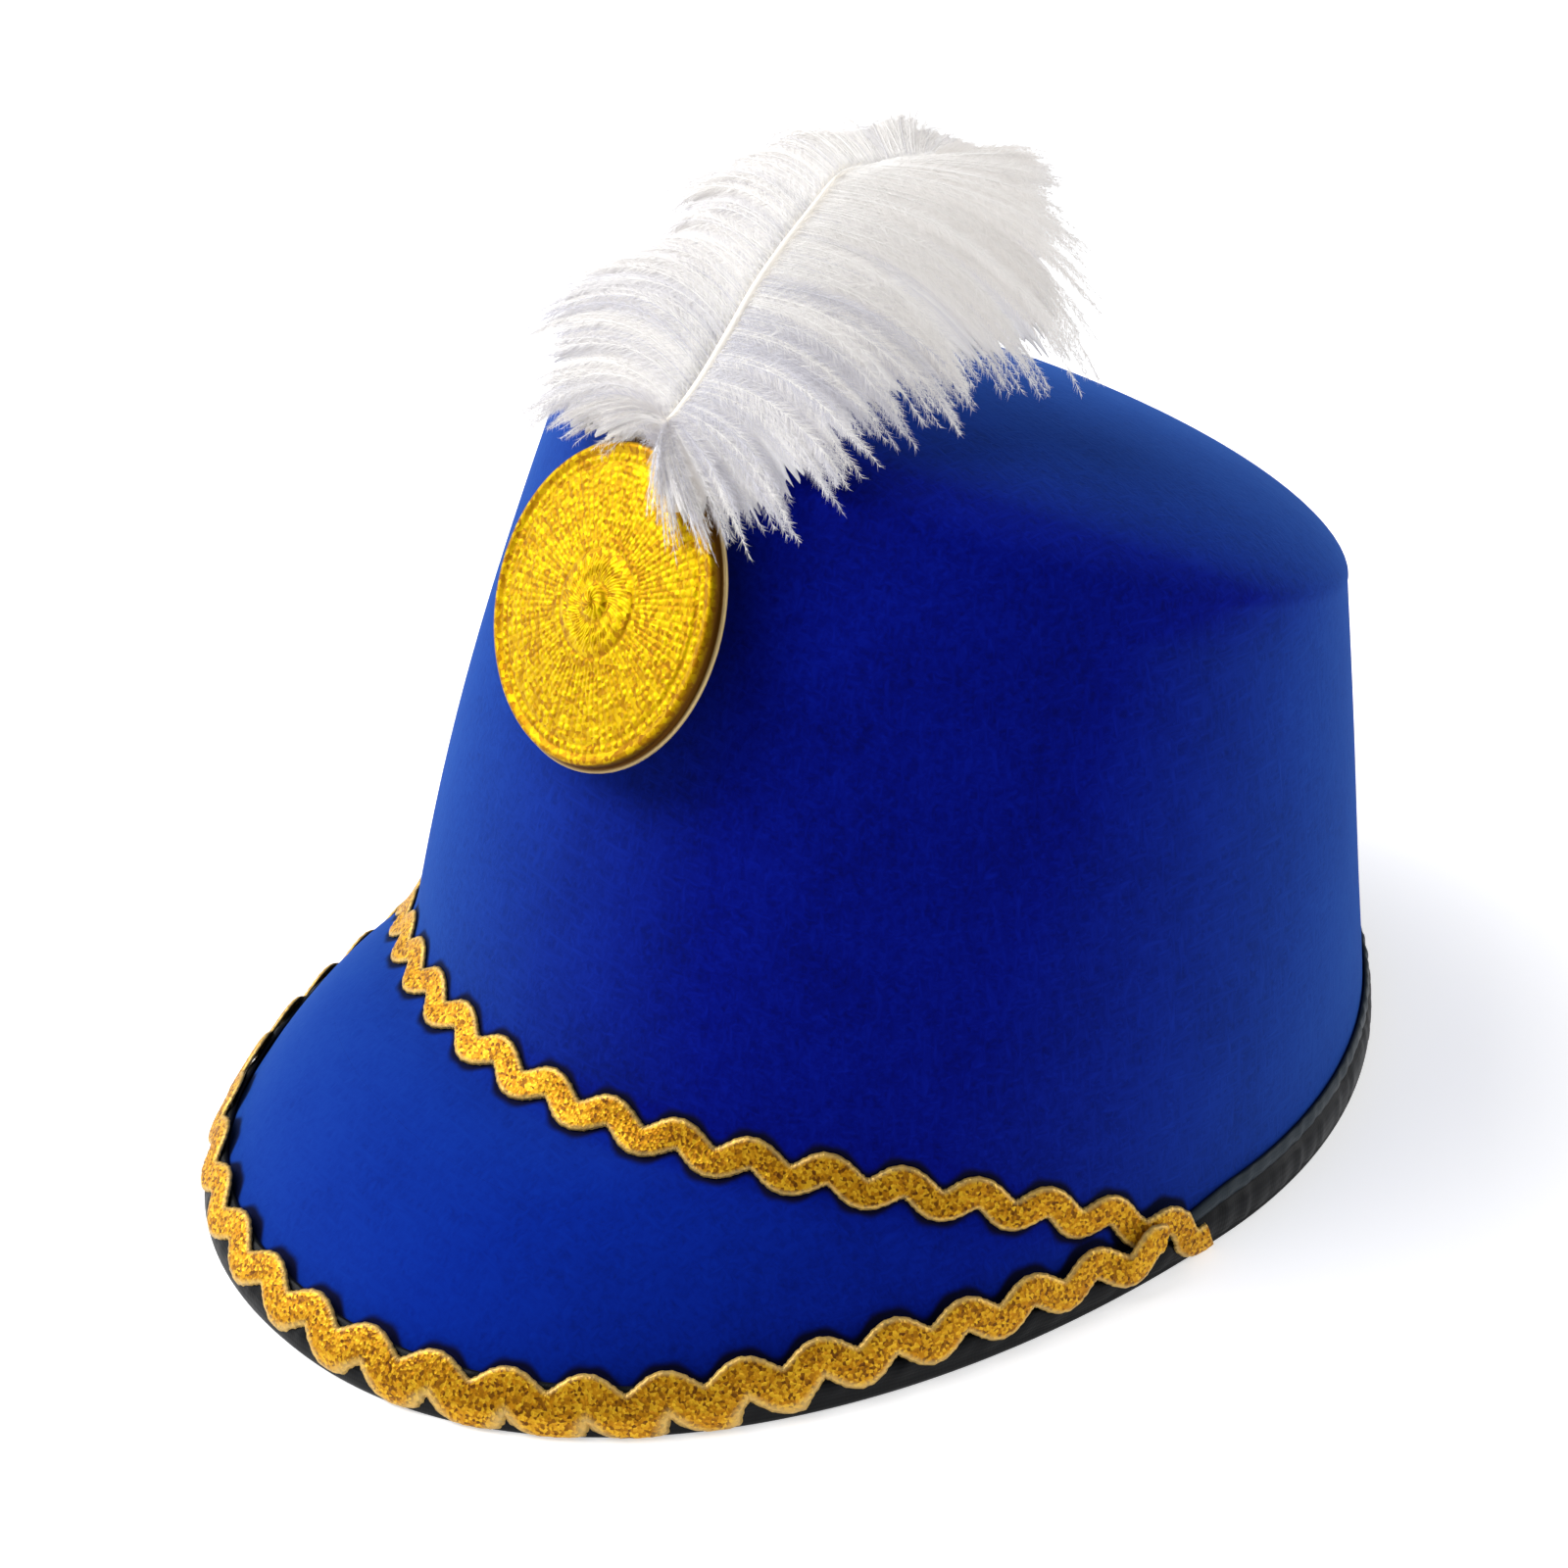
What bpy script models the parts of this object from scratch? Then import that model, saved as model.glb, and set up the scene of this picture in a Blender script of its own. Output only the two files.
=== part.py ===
"""Blue moulded felt shako hat: a leaning crown with a sloping peak, a bound edge, wavy gold braid,
a round gold badge and a curled white plume.

Metres, +Z up. The hat stands on its bound edge at z = 0. The front is -Y, the wearer's left is +X,
and the origin is the middle of the footprint. Angles round the crown start at the front centre and
grow towards the wearer's left. A distance on the felt is measured up its section from the edge.
"""
import math

import bpy
import numpy as np

# Felt body: one moulded piece
FELT = 0.0022                 # wall thickness
CROWN_HALF_WIDTH = 0.0900     # outside, at the lower edge
CROWN_HALF_DEPTH = 0.0985
PEAK_REACH = 0.1380           # felt edge of the peak, forward of the crown's centre
PEAK_POWER = 2.16             # outline exponent of the peak: 2 is an ellipse, more is squarer
PEAK_NARROWING = 0.42         # the exponent falls by this much towards the wearer's right
PEAK_NARROWING_FROM = math.radians(18.5)
PEAK_NARROWING_OVER = math.radians(54.6)
TOP_HALF_WIDTH = 0.0740       # rim of the top
TOP_HALF_DEPTH = 0.0640
TOP_SET_BACK = 0.0208         # the top's centre lies this far behind the lower edge's centre
TOP_HEIGHT = 0.1127           # rim of the top, at the sides
TOP_RISE = 0.0260             # the rim is this much higher at the front, and lower at the back
DOME_RISE = 0.0168
DOME_POWER = 1.85             # 2 is an elliptic dome, less is flatter near the rim
WALL_SWELL = 0.0014           # the wall bellies out between its two rims
FRONT_SWELL = 0.0018          # and this much more at the front
FOOT_PRESS = 0.0034           # the wall's foot is pressed in this much at the wearer's right front
BEND_FRONT = 0.0322           # height where the peak bends out of the crown, at the front centre
BEND_LEAST = 0.0060           # past the peak's ends it is only the wall's lowest strip
# The two sides of the peak: the wearer's right, then the wearer's left
BEND_END = (math.radians(74.0), math.radians(89.4))   # angle where the bend line meets the edge
BEND_POWER = (2.1, 2.9)       # the line falls slowly at first, then steeply towards the sides
CAMBER_POWER = (1.2, 2.0)     # how fast the camber goes as the peak gets shorter
BEND_RADIUS = 0.0080
PEAK_LENGTH = 0.0582          # from bend to edge at the front centre
PEAK_CAMBER = 0.0058          # the peak bows up this much there, less where it is shorter
EDGE_LOW = 0.0008             # height of the felt edge in its binding, at the back
EDGE_RISE = 0.0017            # the flatter peak needs this much more for the tape under it
SIDES = 56                    # segments round the hat
FELT_ROWS = (5, 4, 4, 5)      # rows of points up the peak, the bend, the wall and the dome

# Edge binding: folded tape
TAPE = 0.0006
GAP = 0.0003                  # clearance between touching pieces
BINDING_OUTSIDE = 0.0094      # width of the tape on the outer face
BINDING_INSIDE = 0.0070
BINDING_EASE = 0.0003         # its inner edge stands this much further off the felt
BINDING_NOSE = 0.0013         # the fold stands this far out past the felt edge

# Ric-rac braid
BRAID_BAND = 0.0056           # width of the band itself
BRAID_SWING = 0.0016          # sideways swing of its centre line
BRAID_THICK = 0.0009
BRAID_PITCH = 0.0131
BRAID_STEPS = 8               # sections in one wave
CROWN_BRAID_CREST = -0.0006   # distance of one crest from the front centre, along the bend
CROWN_BRAID_END = (0.1080, 0.1412)    # length from the front centre to each end
PEAK_BRAID_INSET = 0.0043     # its centre line, in from the felt edge
PEAK_BRAID_RISE = 0.0041      # on the wearer's left it runs this much further in
PEAK_BRAID_RISE_FROM = math.radians(35.6)
PEAK_BRAID_RISE_OVER = math.radians(22.4)
PEAK_BRAID_CREST = 0.0052
PEAK_BRAID_END = (0.1410, 0.1640)
PEAK_BRAID_LAP = 0.0140       # length at each end that rises over the other braid
PEAK_BRAID_LIFT = 0.0017
TAPE_STEP = 0.0080            # length over which a braid climbs onto the binding

# Badge
BADGE_ANGLE = math.radians(-1.0)
BADGE_HEIGHT = 0.1113
BADGE_LEAN = math.radians(4.0)    # its top leans in from the wall's own slope
BADGE_TURN = math.radians(-4.5)   # and it faces a little to the wearer's right
BADGE_LIFT = 0.0034           # room behind it for the plume's quill
BADGE_BOSS = 0.0060           # radius of the boss on its back
BADGE_SEAT = 0.0008           # the boss stops this far from the felt at its middle
BADGE_SIDES = 40
BADGE_MIDDLE = 0.0048         # height of its face over its back, at the middle
# The same ring by ring, and how much higher every other ray stands.
BADGE_RINGS = [
    # radius, height, ray_rise
    (0.0025, 0.0047, 0.0000),
    (0.0065, 0.0041, 0.0006),
    (0.0085, 0.0037, 0.0000),
    (0.0100, 0.0040, 0.0000),
    (0.0118, 0.0034, 0.0000),
    (0.0225, 0.0028, 0.0006),
    (0.0240, 0.0026, 0.0000),
    (0.0262, 0.0031, 0.0000),
    (0.0273, 0.0026, 0.0000),
    (0.0275, 0.0010, 0.0000),
    (0.0283, 0.0009, 0.0000),
    (0.0283, 0.0000, 0.0000),
]

# Plume: one feather, facing forward and curling back over the crown
QUILL = 0.0008                # thickness of the quill behind the badge
VANE = 0.0026                 # thickness of the barbs' mass
PLUME_ANGLE = math.radians(-3.8)
PLUME_HEIGHT = 0.1290         # height of its root on the crown's wall, behind the badge
PLUME_ROWS = 47
PLUME_COLUMNS = 5             # on each side of the shaft
LOCK_ROWS = 4                 # rows of barbs in one lock
LOCK_DEPTH = 0.20             # a lock's outer barbs are this much shorter than its middle ones
LOCK_WAVE = 0.0014            # locks lie alternately above and below the vane
# Rows of barbs from the quill's end to the tip, in millimetres from the root: the shaft, then the
# middle and the tip of the barb on the wearer's right and of the one on the wearer's left.
PLUME_STATIONS = [
    # shaft, right_middle, right_tip, left_middle, left_tip
    ((0, -2.5, -5), (-0.4, -2.5, -5), (-0.8, -2.5, -5), (0.4, -2.5, -5), (0.8, -2.5, -5)),
    ((0, 0, 0), (-0.4, 0, 0), (-0.8, 0, 0), (0.4, 0, 0), (0.8, 0, 0)),
    ((1, 4.3, 9.5), (0.4, 4.3, 9.5), (-0.2, 4.3, 9.5), (1.6, 4.3, 9.5), (2.2, 4.3, 9.5)),
    ((2, 4, 12), (-2, 4, 13.5), (-5, 3, 13.5), (4, 0.5, 14), (7, -5, 13)),
    ((2.5, 3.5, 13), (-7, 3, 14.5), (-14, 0, 9.5), (9, -6, 13), (12, -14, -3)),
    ((3.5, 5, 15), (-14, 6, 15), (-22, 0, 6), (15, -1.5, 13), (21, -12, 0)),
    ((4, 9.5, 19), (-16, 8.5, 20), (-28, 3.5, 8.5), (18, 6, 15.5), (27, -4, 2)),
    ((4, 16, 25.5), (-17, 14, 28), (-33, 6.5, 14.5), (22, 13, 23), (34, 2, 0.5)),
    ((4, 22, 32), (-17, 23, 32), (-35, 11.5, 23.5), (24, 21, 28.5), (38, 9, 10.5)),
    ((4, 28.5, 37.5), (-16, 29.5, 36), (-34, 27, 25), (26, 30.5, 34.5), (39, 21.5, 13.5)),
    ((4, 35.5, 42.5), (-15, 37, 41.5), (-32, 34, 27.5), (27, 41, 39.5), (39, 36, 13.5)),
    ((4, 41, 46), (-14, 44.5, 44), (-28, 40, 36), (27, 50, 44), (39, 52, 14)),
    ((4, 47, 47.5), (-12, 53.5, 47), (-22, 54, 39), (25, 56.5, 48), (40, 58.5, 26.5)),
    ((4, 53.5, 48), (-8, 59.5, 48.5), (-14, 57.5, 46), (22, 59.5, 50), (34, 66.5, 35.5)),
    ((4, 62, 47.5), (-1, 67, 46.5), (-4, 67.5, 45.5), (12, 67, 46.5), (18, 74.5, 42)),
]

CROWN_Y = (PEAK_REACH - CROWN_HALF_DEPTH) / 2     # puts the footprint's middle at the origin


def unit(vectors):
    return vectors / np.linalg.norm(vectors, axis=-1, keepdims=True)


def smooth(value):
    """Ease from 0 to 1 as the value does."""
    value = np.clip(value, 0, 1)
    return value * value * (3 - 2 * value)


def by_side(angle, pair):
    """The first value of a pair on the wearer's right, the second on the wearer's left."""
    return np.where(angle < 0, pair[0], pair[1])


def crown_wall(angle, height):
    """Outside of the leaning wall: an ellipse that shrinks and slides back as it rises, and swells."""
    share = height / (TOP_HEIGHT + TOP_RISE * np.cos(angle))
    swell = (WALL_SWELL + FRONT_SWELL * np.cos(angle)) * 4 * share * (1 - share)
    half_width = CROWN_HALF_WIDTH + (TOP_HALF_WIDTH - CROWN_HALF_WIDTH) * share + swell
    half_depth = CROWN_HALF_DEPTH + (TOP_HALF_DEPTH - CROWN_HALF_DEPTH) * share + swell
    press = FOOT_PRESS * 2 * np.maximum(-np.sin(angle), 0) * np.maximum(np.cos(angle), 0)
    press = press * (1 - share) ** 3
    x = (half_width - press) * np.sin(angle)
    y = CROWN_Y + TOP_SET_BACK * share - (half_depth - press) * np.cos(angle)
    return np.stack([x, y, height + 0 * angle], axis=-1)


def dome(angle, climb):
    """Top surface: climb runs from 0 at the rim to a quarter turn at the middle of the dome."""
    rim = crown_wall(angle, TOP_HEIGHT + TOP_RISE * np.cos(angle))
    middle = np.array([0, CROWN_Y + TOP_SET_BACK, TOP_HEIGHT])
    axis = unit(np.array([0, TOP_RISE / TOP_HALF_DEPTH, 1.0]))
    inward = np.clip(np.cos(climb), 0, 1) ** (2 / DOME_POWER)
    rise = np.clip(np.sin(climb), 0, 1) ** (2 / DOME_POWER)
    return middle + (rim - middle) * inward[..., None] + axis * DOME_RISE * rise[..., None]


def bend_line(angle):
    """Height of the line where the peak bends out of the crown, falling to the edge at the sides."""
    return BEND_FRONT * (1 - (np.abs(angle) / by_side(angle, BEND_END)) ** by_side(angle, BEND_POWER))


def felt_edge(angle):
    """Outer corner of the felt: a superellipse round the peak, the crown's own ellipse at the back."""
    sin, cos = np.sin(angle), np.cos(angle)
    front = np.maximum(cos, 0)
    power = PEAK_POWER - PEAK_NARROWING * smooth((-angle - PEAK_NARROWING_FROM) / PEAK_NARROWING_OVER)
    reach = (np.abs(sin) ** power + front ** power) ** (-1 / power)
    x = CROWN_HALF_WIDTH * sin * np.where(cos > 0, reach, 1)
    y = CROWN_Y - np.where(cos > 0, PEAK_REACH * cos * reach, CROWN_HALF_DEPTH * cos)
    z = EDGE_LOW + EDGE_RISE * smooth(front * 1.6)
    return np.stack([x, y, z], axis=-1)


def felt_lines(angle):
    """Sections of the felt's outside: the cambered peak, the bend, the wall and the dome."""
    peak_rows, bend_rows, wall_rows, dome_rows = FELT_ROWS
    angle = angle[:, None]
    height = np.maximum(bend_line(angle), BEND_LEAST)
    edge = felt_edge(angle)
    bend = crown_wall(angle, height)
    reach = np.linalg.norm(edge - bend, axis=-1)
    cut = BEND_RADIUS * reach / (BEND_RADIUS + reach)
    up = np.concatenate([0.4 * np.sin(angle), -0.4 * np.cos(angle), 0 * angle + 0.9], axis=-1)

    share = np.linspace(0, 1, peak_rows) * (1 - cut / reach)
    size = PEAK_CAMBER * (reach / PEAK_LENGTH) ** by_side(angle, CAMBER_POWER)
    camber = size * 4 * share * (1 - share)
    peak = edge + (bend - edge) * share[..., None] + up[:, None] * camber[..., None]

    start = height + cut
    turn = np.linspace(0, 1, bend_rows + 1)[1:, None]
    curve = peak[:, -1:] * (1 - turn) ** 2 + bend * 2 * turn * (1 - turn)
    curve = curve + crown_wall(angle, start) * turn ** 2

    climb = np.linspace(0, 1, wall_rows + 1)[1:]
    wall = crown_wall(angle, start + (TOP_HEIGHT + TOP_RISE * np.cos(angle) - start) * climb)
    top = dome(angle, np.linspace(0, np.pi / 2, dome_rows + 1)[1:] + 0 * angle)
    return np.concatenate([peak, curve, wall, top], axis=1)


def felt_point(angle, distance):
    """Point on the felt's outside at an angle, at a distance from the edge up the section."""
    lines = felt_lines(angle)
    steps = np.linalg.norm(np.diff(lines, axis=1), axis=-1)
    along = np.concatenate([0 * steps[:, :1], np.cumsum(steps, axis=1)], axis=1)
    hit = np.clip((along <= distance[:, None]).sum(axis=1) - 1, 0, steps.shape[1] - 1)
    row = np.arange(len(angle))
    share = (distance - along[row, hit]) / steps[row, hit]
    return lines[row, hit] + (lines[row, hit + 1] - lines[row, hit]) * share[:, None]


def felt_frame(angle, distance):
    """Point, direction round the hat for one radian, direction up the section, outward normal."""
    turn, step = 0.004, 0.0004
    up = unit(felt_point(angle, distance + step) - felt_point(angle, distance - step))
    around = (felt_point(angle + turn, distance) - felt_point(angle - turn, distance)) / (2 * turn)
    return felt_point(angle, distance), around, up, unit(np.cross(around, up))


def bend_distance(angle):
    """Distance of the bend's middle from the edge; it runs down to the edge at the peak's ends."""
    lines = felt_lines(angle)[:, :FELT_ROWS[0] + FELT_ROWS[1] // 2]
    length = np.linalg.norm(np.diff(lines, axis=1), axis=-1).sum(axis=1)
    return length * np.clip(bend_line(angle) / BEND_LEAST, 0, 1)


def edge_distance(angle):
    """Distance of the peak's braid from the edge."""
    return PEAK_BRAID_INSET + PEAK_BRAID_RISE * smooth((angle - PEAK_BRAID_RISE_FROM) / PEAK_BRAID_RISE_OVER)


def material(name, colour, roughness, metallic=0.0, sheen=0.0):
    """Plain Principled BSDF finish."""
    result = bpy.data.materials.new(name)
    result.use_nodes = True
    shader = result.node_tree.nodes["Principled BSDF"]
    shader.inputs["Base Color"].default_value = (*colour, 1)
    shader.inputs["Roughness"].default_value = roughness
    shader.inputs["Metallic"].default_value = metallic
    shader.inputs["Sheen Weight"].default_value = sheen
    result.diffuse_color = (*colour, 1)
    return result


def surface(name, grid, finish, around=False, hollow=False, poles=()):
    """Object with a grid of points as its faces: joined around, joined across, drawn in to poles."""
    points = grid.reshape(-1, 3)
    index = np.arange(len(points)).reshape(grid.shape[:2])
    for column in poles:
        index[:, column] = index[0, column]
    if hollow:
        index = np.hstack([index, index[:, :1]])
    if around:
        index = np.vstack([index, index[:1]])
    corners = np.stack([index[:-1, :-1], index[1:, :-1], index[1:, 1:], index[:-1, 1:]], axis=-1)
    faces = [list(dict.fromkeys(face)) for face in corners.reshape(-1, 4).tolist()]
    used = np.unique(index)
    place = {old: new for new, old in enumerate(used.tolist())}
    mesh = bpy.data.meshes.new(name)
    mesh.from_pydata(points[used].tolist(), [], [[place[i] for i in face] for face in faces])
    mesh.materials.append(finish)
    mesh.shade_smooth()
    mesh.set_sharp_from_angle(angle=math.radians(40))
    thing = bpy.data.objects.new(name, mesh)
    hat.objects.link(thing)
    return thing


def solidify(thing, thickness, offset):
    """Give an open surface its wall; offset -1 grows it inwards, 0 to both sides, 1 outwards."""
    wall = thing.modifiers.new("wall", "SOLIDIFY")
    wall.thickness = thickness
    wall.offset = offset
    wall.use_even_offset = True
    return wall


def make_felt():
    """Crown and peak: an open loft from the edge to the middle of the dome, walled inwards."""
    grid = felt_lines(ring)
    blue = material("blue_felt", (0.010, 0.045, 0.300), 0.95, sheen=0.3)
    solidify(surface("crown_and_peak", grid, blue, around=True, poles=(-1,)), FELT, -1)


def make_binding():
    """Tape folded over the edge: a hooked section carried round the hat, flat where it rests."""
    def at(distance, out, down=0.0):
        point, _, up, normal = felt_frame(ring, np.full(len(ring), distance))
        return point + normal * out - up * down

    near, far = GAP, GAP + TAPE
    inside = -FELT - 1.5 * GAP
    edge = felt_edge(ring)
    _, around, _, _ = felt_frame(ring, np.full(len(ring), FELT))
    nose = edge + unit(np.cross(around, (0, 0, 1))) * BINDING_NOSE
    section = [
        at(BINDING_OUTSIDE, near), at(BINDING_OUTSIDE, far), at(BINDING_OUTSIDE / 2, far),
        at(0, far), nose * (1, 1, 0.6), nose * (1, 1, 0),
        at(0, inside, far) * (1, 1, 0), at(0, inside - TAPE),
        at(BINDING_INSIDE, inside - BINDING_EASE - TAPE), at(BINDING_INSIDE, inside - BINDING_EASE),
        at(0, inside, near), at(0, near, near), at(BINDING_OUTSIDE / 2, near),
    ]
    grid = np.stack(section, axis=1)[:, ::-1]
    grid[..., 2] = np.maximum(grid[..., 2], 0)
    black = material("black_tape", (0.020, 0.021, 0.028), 0.5)
    surface("edge_binding", grid, black, around=True, hollow=True)


def make_braid(name, path_distance, crest, end, lap):
    """Ric-rac along a line on the felt: a wave whose band keeps its width, one grid of two edges."""
    angle = np.linspace(-BEND_END[1], BEND_END[1], 601)
    line = felt_point(angle, path_distance(angle))
    length = np.concatenate([[0], np.cumsum(np.linalg.norm(np.diff(line, axis=0), axis=1))])
    length -= np.interp(0, angle, length)

    along = np.arange(-end[0], end[1], BRAID_PITCH / BRAID_STEPS)
    here = np.interp(along, length, angle)
    distance = path_distance(here)
    _, around, up, normal = felt_frame(here, distance)
    ahead = np.interp(along + BRAID_BAND / 8, length, angle)
    forward = unit(felt_point(ahead, path_distance(ahead)) - felt_point(here, distance))
    side = np.cross(normal, forward)

    # The sideways direction as a turn round the hat and a step up the section
    dot = np.sum(around * up, axis=1)
    size = np.sum(around * around, axis=1)
    side_around, side_up = np.sum(side * around, axis=1), np.sum(side * up, axis=1)
    turn = (side_around - dot * side_up) / (size - dot ** 2)
    climb = side_up - dot * turn

    phase = 2 * np.pi * (along - crest) / BRAID_PITCH
    swing = BRAID_SWING * np.cos(phase)
    slope = BRAID_SWING * 2 * np.pi / BRAID_PITCH * np.sin(phase)
    half = BRAID_BAND / 2 * np.sqrt(1 + slope ** 2)
    past = np.abs(along) - by_side(along, end)
    raised = lap * smooth((past + PEAK_BRAID_LAP) / PEAK_BRAID_LAP * 2)
    nearest = distance + np.minimum(climb * (swing - half), climb * (swing + half))
    on_tape = 1 - smooth((nearest - BINDING_OUTSIDE - GAP) / TAPE_STEP)
    lift = GAP + (1.5 * GAP + TAPE) * on_tape + raised
    edges = []
    for offset in (swing - half, swing + half):
        reach = np.maximum(distance + climb * offset, TAPE)
        point, _, _, out = felt_frame(here + turn * offset, reach)
        edges.append(point + out * lift[:, None])
    gold = material(name + "_gold", (0.62, 0.36, 0.05), 0.45, metallic=0.6)
    solidify(surface(name, np.stack(edges, axis=1), gold), BRAID_THICK, 1)


def make_badge():
    """Stamped disc: rings of points with a raised sunburst, a thin lip, and a boss on the back."""
    angle, height = np.array([BADGE_ANGLE]), np.array([BADGE_HEIGHT])
    seat = crown_wall(angle, height)[0]
    up = unit(crown_wall(angle, height + 0.001)[0] - crown_wall(angle, height - 0.001)[0])
    across = unit(crown_wall(angle + 0.01, height)[0] - crown_wall(angle - 0.01, height)[0])
    out = unit(np.cross(across, up))
    across = np.cross(up, out)
    up, out = (up * math.cos(BADGE_LEAN) - out * math.sin(BADGE_LEAN),
               out * math.cos(BADGE_LEAN) + up * math.sin(BADGE_LEAN))
    across, out = (across * math.cos(BADGE_TURN) - out * math.sin(BADGE_TURN),
                   out * math.cos(BADGE_TURN) + across * math.sin(BADGE_TURN))
    depth = BADGE_SEAT - BADGE_LIFT
    boss = [(BADGE_BOSS, 0.0, 0.0), (BADGE_BOSS, depth, 0.0), (0.0, depth, 0.0)]
    rings = [(0.0, BADGE_MIDDLE, 0.0)] + BADGE_RINGS + boss
    turn = np.linspace(0, 2 * np.pi, BADGE_SIDES, endpoint=False)
    every_other = np.arange(BADGE_SIDES) % 2
    columns = []
    for radius, high, ray_rise in rings:
        level = high + BADGE_LIFT + ray_rise * every_other
        flat = across * (radius * np.cos(turn))[:, None] + up * (radius * np.sin(turn))[:, None]
        columns.append(seat + flat + out * level[:, None])
    gold = material("badge_gold", (0.75, 0.45, 0.04), 0.35, metallic=0.8)
    surface("badge", np.stack(columns, axis=1)[:, ::-1], gold, around=True, poles=(0, -1))


def table_curve(rows, at):
    """Smooth Catmull-Rom curve through the rows of a table, read at fractional row numbers."""
    rows = np.asarray(rows, float)
    last = len(rows) - 1
    left = np.minimum(at.astype(int), last - 1)
    t = (at - left)[:, None]
    a, b = rows[left], rows[left + 1]
    before, after = rows[np.maximum(left - 1, 0)], rows[np.minimum(left + 2, last)]
    bend = 2 * before - 5 * a + 4 * b - after
    return 0.5 * (2 * a + (b - before) * t + bend * t ** 2 + (3 * a - before - 3 * b + after) * t ** 3)


def make_plume():
    """Vane of arching barbs on both sides of the shaft, cut into locks, with the bare quill below."""
    angle, height = np.array([PLUME_ANGLE]), np.array([PLUME_HEIGHT])
    wall = crown_wall(angle, height)[0]
    rise = unit(crown_wall(angle, height + 0.001)[0] - wall)
    root = wall + np.cross((1, 0, 0), rise) * (1.7 * GAP + QUILL / 2)
    at = np.linspace(0, len(PLUME_STATIONS) - 1, PLUME_ROWS)
    stations = table_curve(np.array(PLUME_STATIONS).reshape(-1, 15) / 1000, at).reshape(-1, 5, 3)
    shaft, right_middle, right_tip, left_middle, left_tip = stations.transpose(1, 0, 2)

    full = smooth(at - 2)
    row = np.arange(PLUME_ROWS)
    in_lock = np.abs(row % LOCK_ROWS / (LOCK_ROWS / 2) - 1)
    length = (1 - LOCK_DEPTH * in_lock * full)[:, None]
    wave = np.outer(LOCK_WAVE * np.cos(row // LOCK_ROWS * np.pi) * full, (0, 0, 1))

    def barbs(middle, tip, share):
        along = share * length
        through = 2 * middle - (shaft + tip) / 2
        curve = shaft * (1 - along) ** 2 + through * 2 * along * (1 - along) + tip * along ** 2
        return curve + wave * share

    out = np.arange(1, PLUME_COLUMNS + 1) / PLUME_COLUMNS
    rows = [barbs(right_middle, right_tip, share) for share in out[::-1]] + [shaft]
    rows += [barbs(left_middle, left_tip, share) for share in out]
    white = material("white_feather", (0.90, 0.89, 0.87), 0.9, sheen=0.2)
    feather = surface("plume", root + np.stack(rows, axis=1), white)
    thick = feather.vertex_groups.new(name="thickness")
    for index, share in enumerate(QUILL / VANE + (1 - QUILL / VANE) * smooth((at - 3) / 2)):
        width = 2 * PLUME_COLUMNS + 1
        thick.add(list(range(index * width, (index + 1) * width)), float(share), "REPLACE")
    wall = solidify(feather, VANE, 0)
    wall.vertex_group = "thickness"
    wall.use_even_offset = False


for old in list(bpy.data.objects):
    bpy.data.objects.remove(old, do_unlink=True)
hat = bpy.data.collections.new("shako_hat")
bpy.context.scene.collection.children.link(hat)
ring = np.linspace(-math.pi, math.pi, SIDES, endpoint=False)

make_felt()
make_binding()
make_braid("crown_ricrac", bend_distance, CROWN_BRAID_CREST, CROWN_BRAID_END, 0.0)
make_braid("peak_ricrac", edge_distance, PEAK_BRAID_CREST, PEAK_BRAID_END, PEAK_BRAID_LIFT)
make_badge()
make_plume()
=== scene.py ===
import math

import bpy
import numpy as np
from mathutils import Matrix


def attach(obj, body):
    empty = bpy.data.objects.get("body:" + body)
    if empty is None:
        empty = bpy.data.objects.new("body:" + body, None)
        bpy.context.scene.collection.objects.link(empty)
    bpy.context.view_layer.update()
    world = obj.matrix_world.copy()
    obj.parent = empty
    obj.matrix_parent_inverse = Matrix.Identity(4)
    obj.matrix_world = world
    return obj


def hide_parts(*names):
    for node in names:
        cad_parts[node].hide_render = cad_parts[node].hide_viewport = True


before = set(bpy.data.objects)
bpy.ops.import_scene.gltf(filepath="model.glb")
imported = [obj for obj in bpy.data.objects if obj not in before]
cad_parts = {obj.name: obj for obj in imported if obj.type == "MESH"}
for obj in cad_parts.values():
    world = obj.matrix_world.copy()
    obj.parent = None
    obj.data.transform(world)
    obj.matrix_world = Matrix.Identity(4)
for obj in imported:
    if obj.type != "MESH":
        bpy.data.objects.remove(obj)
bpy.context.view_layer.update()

# Crown and peak: one piece of blue wool-look felt, steamed over a block so that the leaning crown, its
# low domed top and the sloping peak flow into each other. The wall is 2.2 mm thick and stiffened, and
# its outside carries a short brushed nap.

FELT_THICK = 0.0022
CROWN_HALF_WIDTH = 0.0900
CROWN_HALF_DEPTH = 0.0985
PEAK_REACH = 0.1380
PEAK_POWER = 2.16             # 2 is an ellipse, more is squarer
PEAK_NARROWING = 0.42         # towards the wearer's right the outline is rounder
PEAK_NARROWING_FROM = math.radians(18.5)
PEAK_NARROWING_OVER = math.radians(54.6)
TOP_HALF_WIDTH = 0.0740
TOP_HALF_DEPTH = 0.0640
TOP_SET_BACK = 0.0208
TOP_HEIGHT = 0.1127
TOP_RISE = 0.0260             # the rim is this much higher at the front, and lower at the back
DOME_RISE = 0.0168
DOME_POWER = 1.85
WALL_SWELL = 0.0014
FRONT_SWELL = 0.0018
FOOT_PRESS = 0.0034           # the wall's foot is pressed in at the wearer's right front
BEND_FRONT = 0.0322
BEND_LEAST = 0.0060
BEND_END = (math.radians(74.0), math.radians(89.4))   # on the wearer's right and left
BEND_POWER = (2.1, 2.9)
CAMBER_POWER = (1.2, 2.0)
BEND_RADIUS = 0.0080
PEAK_LENGTH = 0.0582
PEAK_CAMBER = 0.0058
EDGE_LOW = 0.0008
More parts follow.
